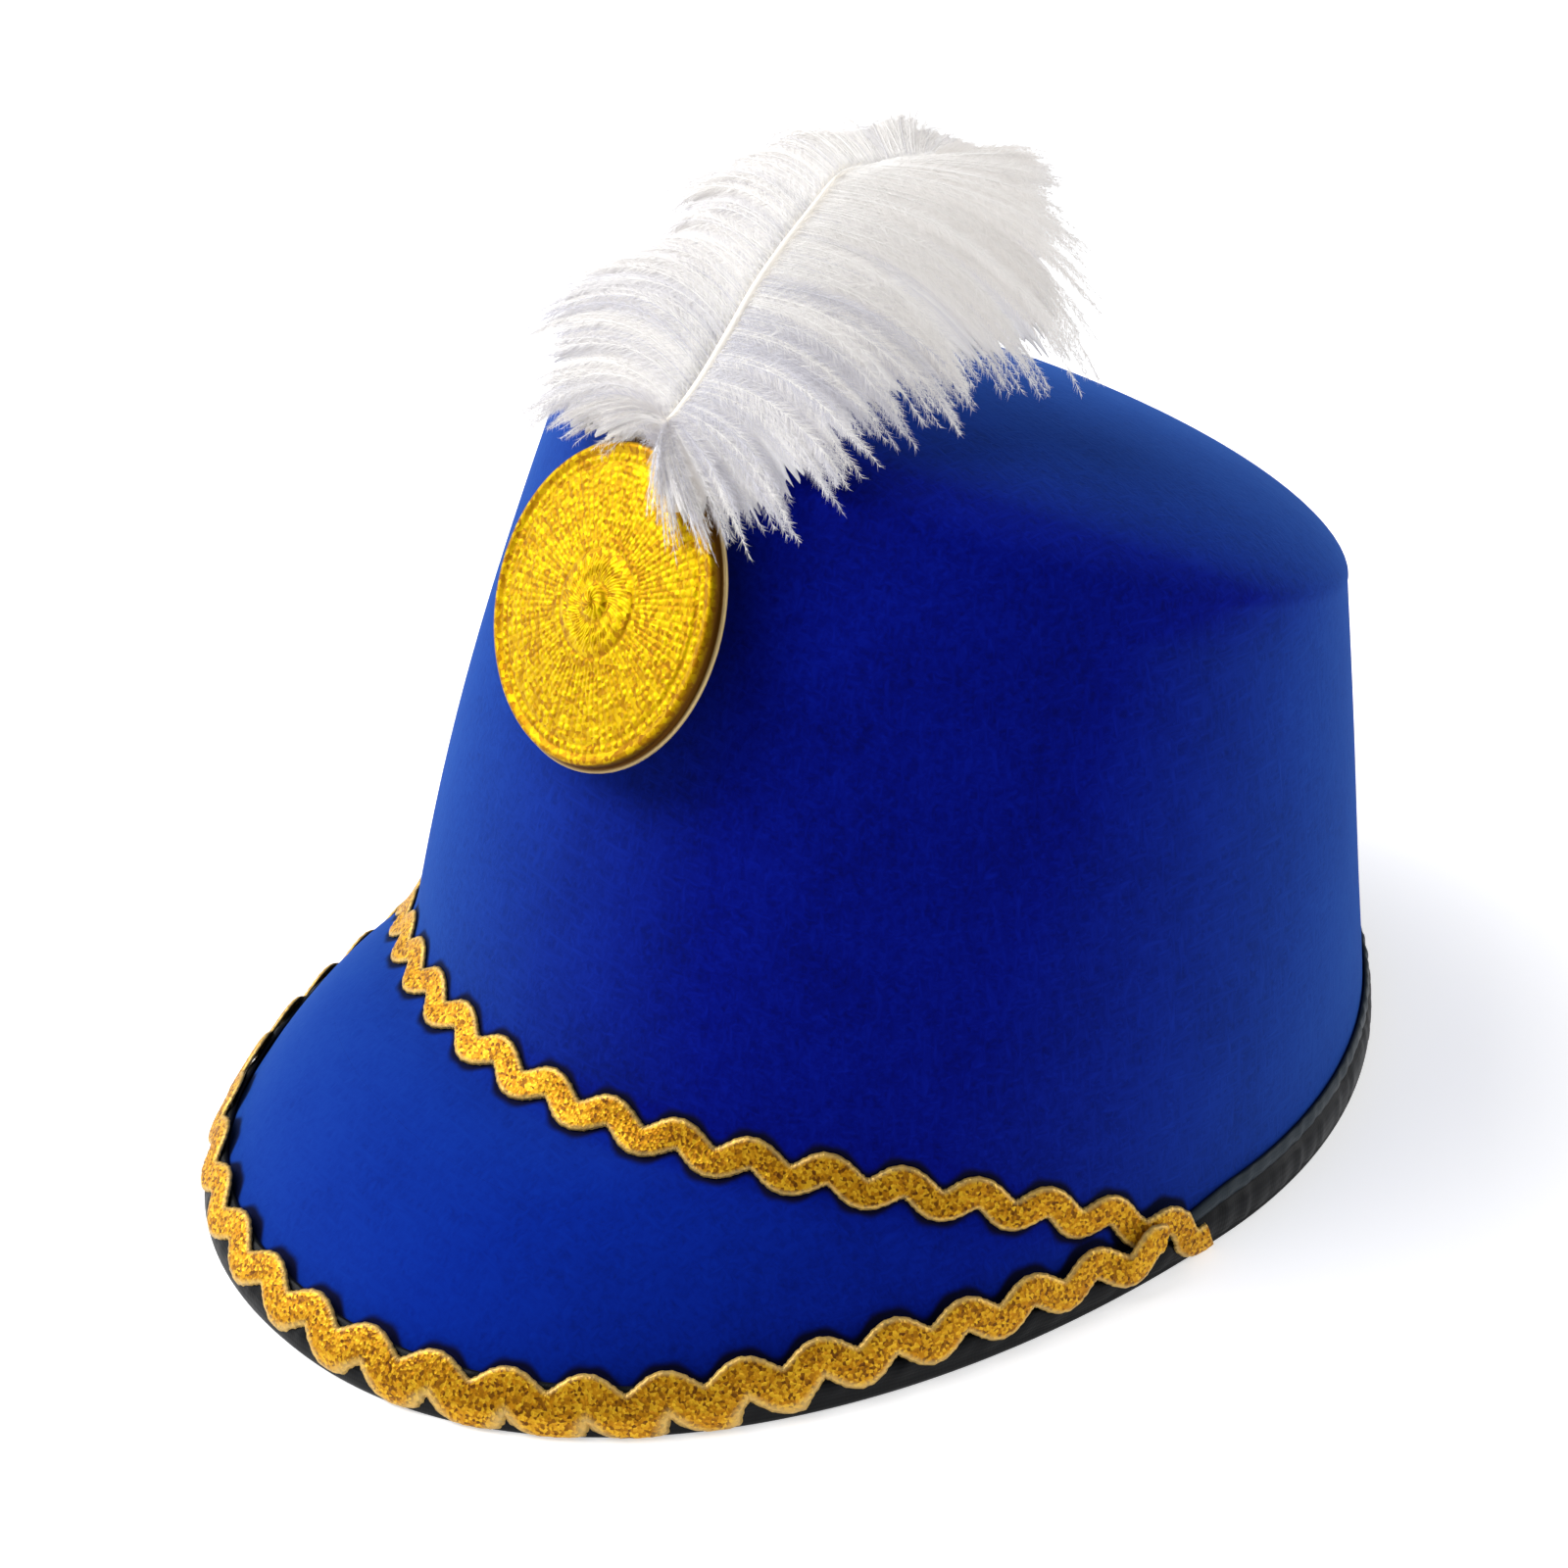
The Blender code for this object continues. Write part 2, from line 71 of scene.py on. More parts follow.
EDGE_RISE = 0.0017
FELT_DENT = 0.00022           # the hand-steamed wall is this uneven
FELT_SIDES = 320
FELT_ROWS = (28, 14, 50, 30)  # up the peak, the bend, the wall and the top
CROWN_Y = (PEAK_REACH - CROWN_HALF_DEPTH) / 2
DEEP_BLUE = (0, 2, 94)
ROYAL_BLUE = (0, 8, 120)
BRIGHT_BLUE = (2, 20, 146)
SHEEN_PAINTED_BLUE = (27, 66, 143)    # painted sheen: the felt's colour where it is seen at a slant
NAP_BLUE = (62, 126, 220)
PEAK_LIGHT_BLUE = (2, 44, 154)  # painted light on the peak, lighter blue towards the wearer's right
PEAK_LIGHT_SPREAD = ((0.1, 0.8), (0.8, 0.35))   # angles round the peak, and how strong the painted light is there
FIBRE_SIZE = 0.0011
FIBRE_HEIGHT = 0.00026
SHEEN_PAINTED_FROM = 0.11               # the painted sheen starts at this slant
TOP_SHEEN_DELAY = 0.29            # on the top the painted sheen starts this much later, leaving painted shade on its near part


def unit(vectors):
    """The same directions with length 1."""
    return vectors / np.linalg.norm(vectors, axis=-1, keepdims=True)


def round_the_hat(count):
    """Even angles from the back centre over the wearer's right, the front and the left."""
    return np.linspace(-np.pi, np.pi, count, endpoint=False)


def smooth(value):
    """Ease from 0 to 1 as the value does."""
    value = np.clip(value, 0, 1)
    return value * value * (3 - 2 * value)


def linear(colour, alpha=1.0):
    """Screen colour, 0 to 255, as the linear colour that a shader socket takes."""
    share = np.array(colour, float) / 255
    low, high = share / 12.92, ((share + 0.055) / 1.055) ** 2.4
    return (*np.where(share <= 0.04045, low, high).tolist(), alpha)


def by_side(angle, pair):
    """The first value of a pair on the wearer's right, the second on the wearer's left."""
    return np.where(angle < 0, pair[0], pair[1])


def crown_wall(angle, height):
    """Leaning wall: an ellipse that shrinks and slides back as it rises, bellied out and a little dented."""
    share = height / (TOP_HEIGHT + TOP_RISE * np.cos(angle))
    swell = (WALL_SWELL + FRONT_SWELL * np.cos(angle)) * 4 * share * (1 - share)
    dent = np.sin(3 * angle + 5.0 * share) + 0.7 * np.sin(5 * angle - 7.0 * share + 2)
    swell = swell + FELT_DENT * dent * smooth(share * 4)
    half_width = CROWN_HALF_WIDTH + (TOP_HALF_WIDTH - CROWN_HALF_WIDTH) * share + swell
    half_depth = CROWN_HALF_DEPTH + (TOP_HALF_DEPTH - CROWN_HALF_DEPTH) * share + swell
    press = FOOT_PRESS * 2 * np.maximum(-np.sin(angle), 0) * np.maximum(np.cos(angle), 0)
    press = press * (1 - share) ** 3
    x = (half_width - press) * np.sin(angle)
    y = CROWN_Y + TOP_SET_BACK * share - (half_depth - press) * np.cos(angle)
    return np.stack([x, y, height + 0 * angle], axis=-1)


DOME_AXIS = unit(np.array([0, TOP_RISE / TOP_HALF_DEPTH, 1.0]))


def crown_top(angle, climb):
    """Top: a superellipse section from the rim, at climb 0, to the middle of the dome, at a quarter turn."""
    rim = crown_wall(angle, TOP_HEIGHT + TOP_RISE * np.cos(angle))
    middle = np.array([0, CROWN_Y + TOP_SET_BACK, TOP_HEIGHT])
    inward = np.clip(np.cos(climb), 0, 1) ** (2 / DOME_POWER)
    rise = np.clip(np.sin(climb), 0, 1) ** (2 / DOME_POWER)
    return middle + (rim - middle) * inward[..., None] + DOME_AXIS * DOME_RISE * rise[..., None]


def bend_height(angle):
    """Height of the line where the peak bends out of the crown, falling to the edge at the sides."""
    return BEND_FRONT * (1 - (np.abs(angle) / by_side(angle, BEND_END)) ** by_side(angle, BEND_POWER))


def felt_edge(angle):
    """Outer corner of the felt: a superellipse round the peak, the crown's own ellipse at the back."""
    sin, cos = np.sin(angle), np.cos(angle)
    front = np.maximum(cos, 0)
    power = PEAK_POWER - PEAK_NARROWING * smooth((-angle - PEAK_NARROWING_FROM) / PEAK_NARROWING_OVER)
    reach = (np.abs(sin) ** power + front ** power) ** (-1 / power)
    x = CROWN_HALF_WIDTH * sin * np.where(cos > 0, reach, 1)
    y = CROWN_Y - np.where(cos > 0, PEAK_REACH * cos * reach, CROWN_HALF_DEPTH * cos)
    return np.stack([x, y, EDGE_LOW + EDGE_RISE * smooth(front * 1.6)], axis=-1)


def felt_sections(angle):
    """Sections of the outside: the cambered peak, a parabola through the bend, the wall and the top."""
    peak_rows, bend_rows, wall_rows, top_rows = FELT_ROWS
    angle = angle[:, None]
    height = np.maximum(bend_height(angle), BEND_LEAST)
    edge, bend = felt_edge(angle), crown_wall(angle, height)
    reach = np.linalg.norm(edge - bend, axis=-1)
    cut = BEND_RADIUS * reach / (BEND_RADIUS + reach)
    up = np.concatenate([0.4 * np.sin(angle), -0.4 * np.cos(angle), 0 * angle + 0.9], axis=-1)

    share = np.linspace(0, 1, peak_rows) * (1 - cut / reach)
    camber = PEAK_CAMBER * (reach / PEAK_LENGTH) ** by_side(angle, CAMBER_POWER) * 4 * share * (1 - share)
    peak = edge + (bend - edge) * share[..., None] + up[:, None] * camber[..., None]

    start = height + cut
    turn = np.linspace(0, 1, bend_rows + 1)[1:, None]
    curve = peak[:, -1:] * (1 - turn) ** 2 + bend * 2 * turn * (1 - turn)
    curve = curve + crown_wall(angle, start) * turn ** 2
    climb = np.linspace(0, 1, wall_rows + 1)[1:]
    wall = crown_wall(angle, start + (TOP_HEIGHT + TOP_RISE * np.cos(angle) - start) * climb)
    top = crown_top(angle, np.linspace(0, np.pi / 2, top_rows + 1)[1:] + 0 * angle)
    return np.concatenate([peak, curve, wall, top], axis=1)


def grid_normals(grid):
    """Outward normals of a grid whose first axis runs round the hat and whose second runs up."""
    around = np.roll(grid, -1, axis=0) - np.roll(grid, 1, axis=0)
    normal = np.cross(around, np.gradient(grid, axis=1))
    return normal / np.maximum(np.linalg.norm(normal, axis=-1, keepdims=True), 1e-12)


def placed(name, mesh, finish):
    """The mesh as a finished piece of the scene, with its material."""
    mesh.materials.append(finish)
    piece = bpy.data.objects.new(name, mesh)
    bpy.context.scene.collection.objects.link(piece)
    return piece


def give_values(piece, label, values, poles=False):
    """Gives each point of a piece a value that its material reads. Where the grid's first and last columns
    are drawn to a pole, only their first point counts."""
    kept = np.ones(values.shape, bool)
    if poles:
        kept[1:, [0, -1]] = False
    layer = piece.data.attributes.new(label, "FLOAT", "POINT")
    layer.data.foreach_set("value", values[kept].astype(np.float32))


def skin(name, grid, finish, ring=False, tube=False, poles=(), uv=None):
    """Mesh whose faces join neighbouring points of a grid. A ring closes the first axis and a tube the
    second, a pole is a column drawn to one point, and uv gives each grid corner its place in the map."""
    points = grid.reshape(-1, 3)
    index = np.arange(len(points)).reshape(grid.shape[:2])
    for column in poles:
        index[:, column] = index[0, column]
    if tube:
        index = np.hstack([index, index[:, :1]])
    if ring:
        index = np.vstack([index, index[:1]])
    used, place = np.unique(index, return_inverse=True)
    place = place.reshape(index.shape)
    quads = corners(place).reshape(-1, 4)
    first, last = quads[:, 0] == quads[:, 1], quads[:, 2] == quads[:, 3]
    whole = ~(first | last)
    faces = quads[whole].tolist() + quads[first][:, 1:].tolist() + quads[last][:, :3].tolist()
    mesh = bpy.data.meshes.new(name)
    mesh.from_pydata(points[used].tolist(), [], faces)
    if uv is not None:
        spots = corners(uv).reshape(-1, 4, 2)
        spots = np.concatenate([spots[whole].reshape(-1, 2), spots[first][:, 1:].reshape(-1, 2),
                                spots[last][:, :3].reshape(-1, 2)])
        mesh.uv_layers.new(name="map").data.foreach_set("uv", spots.ravel())
    mesh.shade_smooth()
    return placed(name, mesh, finish)


def corners(values):
    """The four corners of every cell of a grid, in turning order."""
    return np.stack([values[:-1, :-1], values[1:, :-1], values[1:, 1:], values[:-1, 1:]], axis=2)


def wire(tree, source, target):
    """Links an output to an input."""
    tree.links.new(source, target)


def add(tree, kind, inputs=None, **settings):
    """New shader node with its settings and its unlinked or linked inputs, by name or number."""
    node = tree.nodes.new(kind)
    for key, value in settings.items():
        setattr(node, key, value)
    for key, value in (inputs or {}).items():
        if isinstance(value, bpy.types.NodeSocket):
            wire(tree, value, node.inputs[key])
        else:
            node.inputs[key].default_value = value
    return node


def result(tree, operation, *values):
    """Result of a maths node on sockets and numbers."""
    return add(tree, "ShaderNodeMath", dict(enumerate(values)), operation=operation).outputs[0]


def value_of(tree, label):
    """The value that a piece's points carry under this label."""
    return add(tree, "ShaderNodeAttribute", attribute_name=label).outputs["Fac"]


def spread(tree, value, low, high, least=0.0, most=1.0, **settings):
    """A value's place between low and high, as a number between least and most."""
    sockets = {0: value, 1: low, 2: high, 3: least, 4: most}
    return add(tree, "ShaderNodeMapRange", sockets, **settings).outputs[0]


def blend(tree, share, first, second):
    """The second colour laid over the first by this share."""
    return add(tree, "ShaderNodeMix", {0: share, 6: first, 7: second}, data_type="RGBA").outputs[2]


def shades(tree, value, *stops):
    """Colour for a value; each stop is (position, screen colour), the first and last of them outermost."""
    ramp = add(tree, "ShaderNodeValToRGB", {0: value})
    elements = ramp.color_ramp.elements
    for stop, element in zip((stops[0], stops[-1]), elements):
        element.position, element.color = stop[0], linear(stop[1])
    for position, colour in stops[1:-1]:
        elements.new(position).color = linear(colour)
    return ramp.outputs[0]


def roughen(tree, shader, strength, distance, height):
    """Bump on the shader's normal."""
    bump = add(tree, "ShaderNodeBump", {"Strength": strength, "Distance": distance, "Height": height})
    wire(tree, bump.outputs[0], shader.inputs["Normal"])


def object_effect(tree, group, **sizes):
    """A node group laid out on Object coordinates, with its sizes set."""
    node = add(tree, "ShaderNodeGroup", node_tree=group)
    for key, value in sizes.items():
        node.inputs[key].default_value = value
    wire(tree, add(tree, "ShaderNodeTexCoord").outputs["Object"], node.inputs["Vector"])
    return node


def effect(name, inputs, outputs):
    """Empty node group with named sockets; each input is (name, kind, value) and each output (name, kind)."""
    group = bpy.data.node_groups.new(name, "ShaderNodeTree")
    for label, kind, value in inputs:
        socket = group.interface.new_socket(label, in_out="INPUT", socket_type="NodeSocket" + kind)
        if value is not None:
            socket.default_value = value
    for label, kind in outputs:
        group.interface.new_socket(label, in_out="OUTPUT", socket_type="NodeSocket" + kind)
    return group, group.nodes.new("NodeGroupInput"), group.nodes.new("NodeGroupOutput")


def finish_of(name, roughness, **sockets):
    """Material whose Principled shader has these constant sockets; gives it, its tree and the shader."""
    material = bpy.data.materials.new(name)
    material.use_nodes = True
    shader = material.node_tree.nodes["Principled BSDF"]
    shader.inputs["Roughness"].default_value = roughness
    for key, value in sockets.items():
        shader.inputs[key.replace("_", " ")].default_value = value
    return material, material.node_tree, shader


def make_fibre_effect():
    """Matted fibres: noise stretched three ways and laid crosswise, with slow clouds of light and dark."""
    group, given, out = effect(
        "matted_fibres",
        [("Vector", "Vector", None), ("Size", "Float", 0.001), ("Clouds", "Float", 0.5)],
        [("Value", "Float"), ("Height", "Float")])
    per_metre = result(group, "DIVIDE", 1.0, given.outputs["Size"])
    fibres = None
    for turn, stretch in (((0.3, 0.2, 0.5), (1, 0.16, 1)), ((1.1, 0.7, 2.2), (0.16, 1, 1)),
                          ((2.0, 1.9, 0.9), (1, 1, 0.16))):
        laid = add(group, "ShaderNodeMapping", {"Vector": given.outputs["Vector"], "Rotation": turn,
                                                "Scale": stretch})
        noise = add(group, "ShaderNodeTexNoise", {"Vector": laid.outputs[0], "Scale": per_metre,
                                                  "Detail": 3.0, "Distortion": 0.6}).outputs["Fac"]
        fibres = noise if fibres is None else result(group, "MAXIMUM", fibres, noise)
    clouds = add(group, "ShaderNodeTexNoise", {"Vector": given.outputs["Vector"], "Scale": 55.0,
                                               "Detail": 4.0, "Roughness": 0.62})
    value = add(group, "ShaderNodeMix", {0: given.outputs["Clouds"], 2: fibres, 3: clouds.outputs["Fac"]})
    wire(group, value.outputs[0], out.inputs["Value"])
    wire(group, fibres, out.inputs["Height"])
    return group


matted_fibres = make_fibre_effect()


def make_felt_finish():
    """Brushed blue felt: crosswise fibres shift its colour a little, a painted sheen lightens it at a slant
    and later on the top, and painted light makes the peak paler.
    """
    material, tree, shader = finish_of("brushed_blue_felt", 0.92, Sheen_Weight=0.30, Sheen_Roughness=0.45,
                                       Sheen_Tint=linear(NAP_BLUE), Specular_IOR_Level=0.06)
    fibres = object_effect(tree, matted_fibres, Size=FIBRE_SIZE, Clouds=0.30)
    grain = shades(tree, fibres.outputs["Value"], (0.40, DEEP_BLUE), (0.54, ROYAL_BLUE), (0.76, BRIGHT_BLUE))
    # Painted sheen: the base colour turns paler blue where the felt is seen at a slant, and later on the top,
    # so the top's near part keeps a painted shade.
    slant = add(tree, "ShaderNodeLayerWeight", {"Blend": 0.5})
    least = result(tree, "MULTIPLY_ADD", value_of(tree, "top"), TOP_SHEEN_DELAY, SHEEN_PAINTED_FROM)
    felt_sheen_painted = spread(tree, slant.outputs["Facing"], least, 0.90)
    patches = spread(tree, fibres.outputs["Value"], 0.40, 0.75, 0.72, 1.25)
    # Painted light: the peak turns paler blue, most on the wearer's right, where the light falls.
    peak_light_painted = result(tree, "MULTIPLY", value_of(tree, "peak_painted_light"), patches)
    ground = blend(tree, peak_light_painted, grain, linear(PEAK_LIGHT_BLUE))
    colour = blend(tree, result(tree, "MULTIPLY", felt_sheen_painted, patches), ground, linear(SHEEN_PAINTED_BLUE))
    wire(tree, colour, shader.inputs["Base Color"])
    roughen(tree, shader, 0.50, FIBRE_HEIGHT, fibres.outputs["Height"])
    return material


def make_felt_body():
    """One grid: the inside wall from the middle of the top down, round the edge, and the outside up again.
    The inside lies one thickness off the outside, square to it."""
    angle = round_the_hat(FELT_SIDES)
    outside = felt_sections(angle)
    normal = grid_normals(outside)
    normal[:, -1] = DOME_AXIS
    inside = outside - normal * FELT_THICK
    edge, inner_edge = outside[:, :1], inside[:, :1]
    lip = (edge + inner_edge) / 2 - (outside[:, 1:2] - edge) * 0.3
    grid = np.concatenate([inside[:, 1::2][:, ::-1], inner_edge, lip, outside], axis=1)
    body = skin("felt_body", grid, make_felt_finish(), ring=True, poles=(0, -1))

    # Where the peak gets painted light, and where it is the top; the inside's columns count as the outside's
    column = np.arange(grid.shape[1]) - (grid.shape[1] - outside.shape[1])
    column = np.where(column < 0, -2 * column, column)
    # Painted light on the peak: its strength by row and by angle round the peak.
    drawn = np.interp(column, (FELT_ROWS[0] - 4, FELT_ROWS[0] + FELT_ROWS[1] - 4), (1, 0))
    drawn = drawn * (np.interp(angle, *PEAK_LIGHT_SPREAD) * np.clip(1.4 * np.cos(angle), 0, 1))[:, None]
    rim = sum(FELT_ROWS[:3])
    top = np.interp(column, (rim - 5, rim + 2), (0, 1)) * np.ones_like(drawn)
    give_values(body, "peak_painted_light", drawn, poles=True)
    give_values(body, "top", top, poles=True)
    return body


felt_body = make_felt_body()
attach(felt_body, "root")
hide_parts("crown_and_peak")


# Edge binding: black satin tape folded over the felt's whole edge and stitched through, with a flat
# upper strip, a groove where the thread pulls it in, and a fuller roll round the edge itself.

TAPE_GAP = 0.0003
BINDING_SIDES = 560
TAPE_LENGTH = 0.66            # round the hat from back to back, as the map counts it
BINDING_LEG = (
    # up_the_felt, off_the_felt (mm), outer leg from its upper edge down to the fold
    (9.35, 0.30), (9.42, 0.62), (9.30, 0.95), (8.90, 1.14), (8.20, 1.26), (7.40, 1.25), (6.70, 1.08),
    (6.25, 0.78), (6.00, 0.62), (5.75, 0.76), (5.30, 1.10), (4.50, 1.40), (3.40, 1.52), (2.20, 1.50),
    (1.00, 1.40), (0.10, 1.25),
)
BINDING_NOSE = (
    # out_past_the_edge (mm), share_of_the_edge_height
    (1.20, 0.85), (1.32, 0.50), (1.28, 0.18), (1.10, 0.0),
)
BINDING_INNER = (
    # up_the_felt, off_the_inner_face (mm)
    (-0.70, 1.00), (0.20, 1.15), (2.00, 1.20), (4.50, 1.20), (6.40, 1.10), (6.95, 0.90), (7.05, 0.60),
    (6.90, 0.50), (3.50, 0.45), (0.30, 0.40),
)
BINDING_LINING = ((0.0, 0.25), (4.0, 0.28))   # up_the_felt, off_the_felt (mm), under the outer leg
PUCKER = 0.00010
TAPE_WIDTH = 0.024
SMALL_STEP = 0.0006           # step along the felt
SMALL_TURN = 0.004            # and turn round the hat, from which directions on the felt are worked out
TAPE_SHEEN_SLATE = (46, 56, 64)          # the tape's upper strip has a painted sheen in this colour,
SHEEN_STRIP_BAND = (0.0172, 0.0184)     # this far across the tape
SHEEN_STRIP_FROM = (0.07, 0.13)     # and this far from the front centre, fading in
LEG_SHORTER = 0.25            # the outer leg is this share shorter at the front


def steps_of(points):
    """Distance from each point of a line, or of several lines, to its next one."""
    return np.linalg.norm(np.diff(points, axis=-2), axis=-1)


def walked(points):
    """Distance of each point of a line, or of several lines, from its start."""
    steps = steps_of(points)
    return np.concatenate([0 * steps[..., :1], np.cumsum(steps, axis=-1)], axis=-1)


def felt_at(angle, distance):
    """Points on the felt's outside at angles round the hat and distances up the section from the edge."""
    lines = felt_sections(angle)
    steps, along = steps_of(lines), walked(lines)
    hit = np.clip((along <= distance[:, None]).sum(axis=1) - 1, 0, steps.shape[1] - 1)
    row = np.arange(len(angle))
    share = (distance - along[row, hit]) / steps[row, hit]
    return lines[row, hit] + (lines[row, hit + 1] - lines[row, hit]) * share[:, None]


def felt_frames(angle, distance):
    """Point, direction round the hat for one radian, direction up the section and outward normal."""
    near = np.maximum(distance, SMALL_STEP)
    up = unit(felt_at(angle, near + SMALL_STEP) - felt_at(angle, near - SMALL_STEP))
    around = felt_at(angle + SMALL_TURN, distance) - felt_at(angle - SMALL_TURN, distance)
    around = around / (2 * SMALL_TURN)
    return felt_at(angle, distance), around, up, unit(np.cross(around, up))


def level_outward(around):
    """Level directions away from the hat, square to the directions round it."""
    return unit(np.cross(around, (0, 0, 1)))


def map_place(tree):
    """The piece's own map, and the places along and across that it gives."""
    chart = add(tree, "ShaderNodeUVMap", uv_map="map").outputs[0]
    return chart, add(tree, "ShaderNodeSeparateXYZ", {0: chart}).outputs


def make_tape_finish():
    """Black satin: a fine lengthwise rib, faint crosswise threads and a soft long highlight, and a painted
    sheen that turns the upper strip slate away from the front.
    """
    material, tree, shader = finish_of("black_satin_tape", 0.46, Specular_IOR_Level=0.14, Sheen_Weight=0.02,
                                       Sheen_Roughness=0.4, Sheen_Tint=linear((150, 165, 175)))
    chart, spot = map_place(tree)
    rib, thread = (
        add(tree, "ShaderNodeTexWave",
            {"Vector": chart, "Scale": fine, "Distortion": crooked, "Detail": detail},
            bands_direction=way).outputs["Fac"]
        for way, fine, crooked, detail in (("Y", 420.0, 0.8, 2.0), ("X", 560.0, 1.0, 1.0)))
    weave = add(tree, "ShaderNodeMix", {0: 0.35, 2: rib, 3: thread})
    cloud = add(tree, "ShaderNodeTexNoise", {"Vector": chart, "Scale": 160.0, "Detail": 4.0})
    black = shades(tree, cloud.outputs["Fac"], (0.0, (3, 4, 6)), (1.0, (9, 11, 15)))
    # Painted sheen: the upper strip is lightened to slate, fading in away from the front centre.
    strip = spread(tree, spot[1], *SHEEN_STRIP_BAND, 0.0, 0.7)
    away = result(tree, "ABSOLUTE", result(tree, "SUBTRACT", spot[0], TAPE_LENGTH / 2))
    tape_sheen_painted = result(tree, "MULTIPLY", strip, spread(tree, away, *SHEEN_STRIP_FROM))
    wire(tree, blend(tree, tape_sheen_painted, black, linear(TAPE_SHEEN_SLATE)), shader.inputs["Base Color"])
    wire(tree, spread(tree, cloud.outputs["Fac"], 0.3, 0.7, 0.36, 0.56), shader.inputs["Roughness"])
    roughen(tree, shader, 0.35, 0.00008, weave.outputs[0])
    return material


def chart_of(along, across):
    """The map of a grid: how far along and across the piece each corner lies."""
    return np.stack(np.broadcast_arrays(along, across), axis=-1)


def make_binding():
    """Hooked section carried round the edge: outer leg, fold, flat sole and inner leg, slightly puckered."""
    angle = round_the_hat(BINDING_SIDES)
    edge = felt_edge(angle)
    _, around, _, _ = felt_frames(angle, np.full(len(angle), FELT_THICK))
    outward = level_outward(around)
    girth = angle * 0.1
    pucker = np.sin(girth * 1450) + 0.8 * np.sin(girth * 1131 + 1) + 0.6 * np.sin(girth * 2210 + 2)
    shorten = 1 - LEG_SHORTER * smooth(np.cos(angle) * 1.5)
    columns = []
    for distance, off in np.array(BINDING_LEG) / 1000:
        point, _, _, normal = felt_frames(angle, distance * shorten)
        loose = PUCKER * pucker * smooth((off - 0.0005) * 1500)
        columns.append(point + normal * (off + loose)[:, None])
    for out, level in BINDING_NOSE:
        columns.append((edge + outward * out / 1000) * (1, 1, level))
    for distance, off in np.array(BINDING_INNER) / 1000:
        reach = np.full(len(angle), max(distance, 0.0))
        point, _, up, normal = felt_frames(angle, reach)
        low = min(distance, 0.0)
        columns.append(point - normal * (FELT_THICK + off) + up * low)
    for distance, off in BINDING_LINING:
        point, _, _, normal = felt_frames(angle, np.full(len(angle), distance / 1000))
        columns.append(point + normal * off / 1000)
    grid = np.stack(columns, axis=1)[:, ::-1]
    grid[..., 2] = np.maximum(grid[..., 2], 0)
    length = np.linspace(0, TAPE_LENGTH, BINDING_SIDES + 1)[:, None]
    chart = chart_of(length, np.linspace(0, TAPE_WIDTH, grid.shape[1] + 1))
    return skin("binding_tape", grid, make_tape_finish(), ring=True, tube=True, uv=chart)


binding_tape = make_binding()
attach(binding_tape, "root")
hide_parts("edge_binding")


# Ric-rac braid: a flat plait of gold metallic thread about 5 mm wide, woven so that it waves. One
# length lies in the bend between crown and peak, the other along the peak's edge, with its ends laid
# over those of the first. Both are stitched and glued on, with pale selvedge threads along the sides.

BRAID_HALF = 0.00288
BRAID_SWING = 0.0016
BRAID_THICK = 0.0009
BRAID_PITCH = 0.0131
BRAID_STEP = 0.00026
BRAID_COLUMNS = 19
BRAID_GOLD = ((0.0, (106, 60, 6)), (0.45, (196, 131, 9)), (1.0, (236, 184, 38)))
SELVEDGE = (218, 186, 112)
THREAD_PITCH = 0.00115
THREAD_RELIEF = 0.00013
TAPE_TOP = 0.0014             # height of the binding's outer face
TAPE_EDGE = 0.0094
TAPE_STEP = 0.0060
CROWN_BRAID_CREST = -0.0006
CROWN_BRAID_END = (0.1080, 0.1404)    # length from the front centre to each end
PEAK_BRAID_INSET = 0.0043
PEAK_BRAID_RISE = 0.0041
PEAK_BRAID_RISE_FROM = math.radians(35.6)
PEAK_BRAID_RISE_OVER = math.radians(22.4)
PEAK_BRAID_SINK = 0.0034
SINK_FROM = math.radians(38)
SINK_OVER = math.radians(22)
PEAK_BRAID_CREST = 0.0052
PEAK_BRAID_END = (0.1410, 0.1640)
PEAK_BRAID_LAP = 0.0140
PEAK_BRAID_LIFT = 0.0015
PEAK_BRAID_DRAPE = 0.0031     # its outer side reaches this much further, over the fold of the binding,
DRAPE_MIDDLE = math.radians(31)   # at this angle, and less and less to both sides
DRAPE_SPREAD = math.radians(27)
FOLD_REACH = 0.0006           # closer to the edge than this the braid turns down over the fold
FOLD_TURN = 0.0016
FOLD_DROP = 0.85              # share of the way past the edge that it drops
BRAID_LOWEST = 0.0003         # over the floor
BRAID_SHADOW_BAND = (BRAID_HALF + 0.0003, BRAID_HALF + 0.0016)   # a shadow of the braid is painted on the felt in this band past half its width,
BRAID_SHADOW_BLUE = (10, 6, 24)    # in this colour, fading out
SHADOW_CHARTED = 0.02            # this far to both sides the felt knows its place beside a braid,
SHADOW_STOP = 0.001              # but not past this distance before the braid's ends


def bend_distance(angle):
    """Distance of the bend's middle from the edge; it runs down to the edge at the peak's ends."""
    lines = felt_sections(angle)[:, :FELT_ROWS[0] + FELT_ROWS[1] // 2]
    return steps_of(lines).sum(axis=1) * np.clip(bend_height(angle) / BEND_LEAST, 0, 1)


def edge_distance(angle):
    """Distance of the peak's braid from the edge, more on the wearer's left and less on the right."""
    rise = PEAK_BRAID_RISE * smooth((angle - PEAK_BRAID_RISE_FROM) / PEAK_BRAID_RISE_OVER)
    return PEAK_BRAID_INSET + rise - PEAK_BRAID_SINK * smooth((-angle - SINK_FROM) / SINK_OVER)


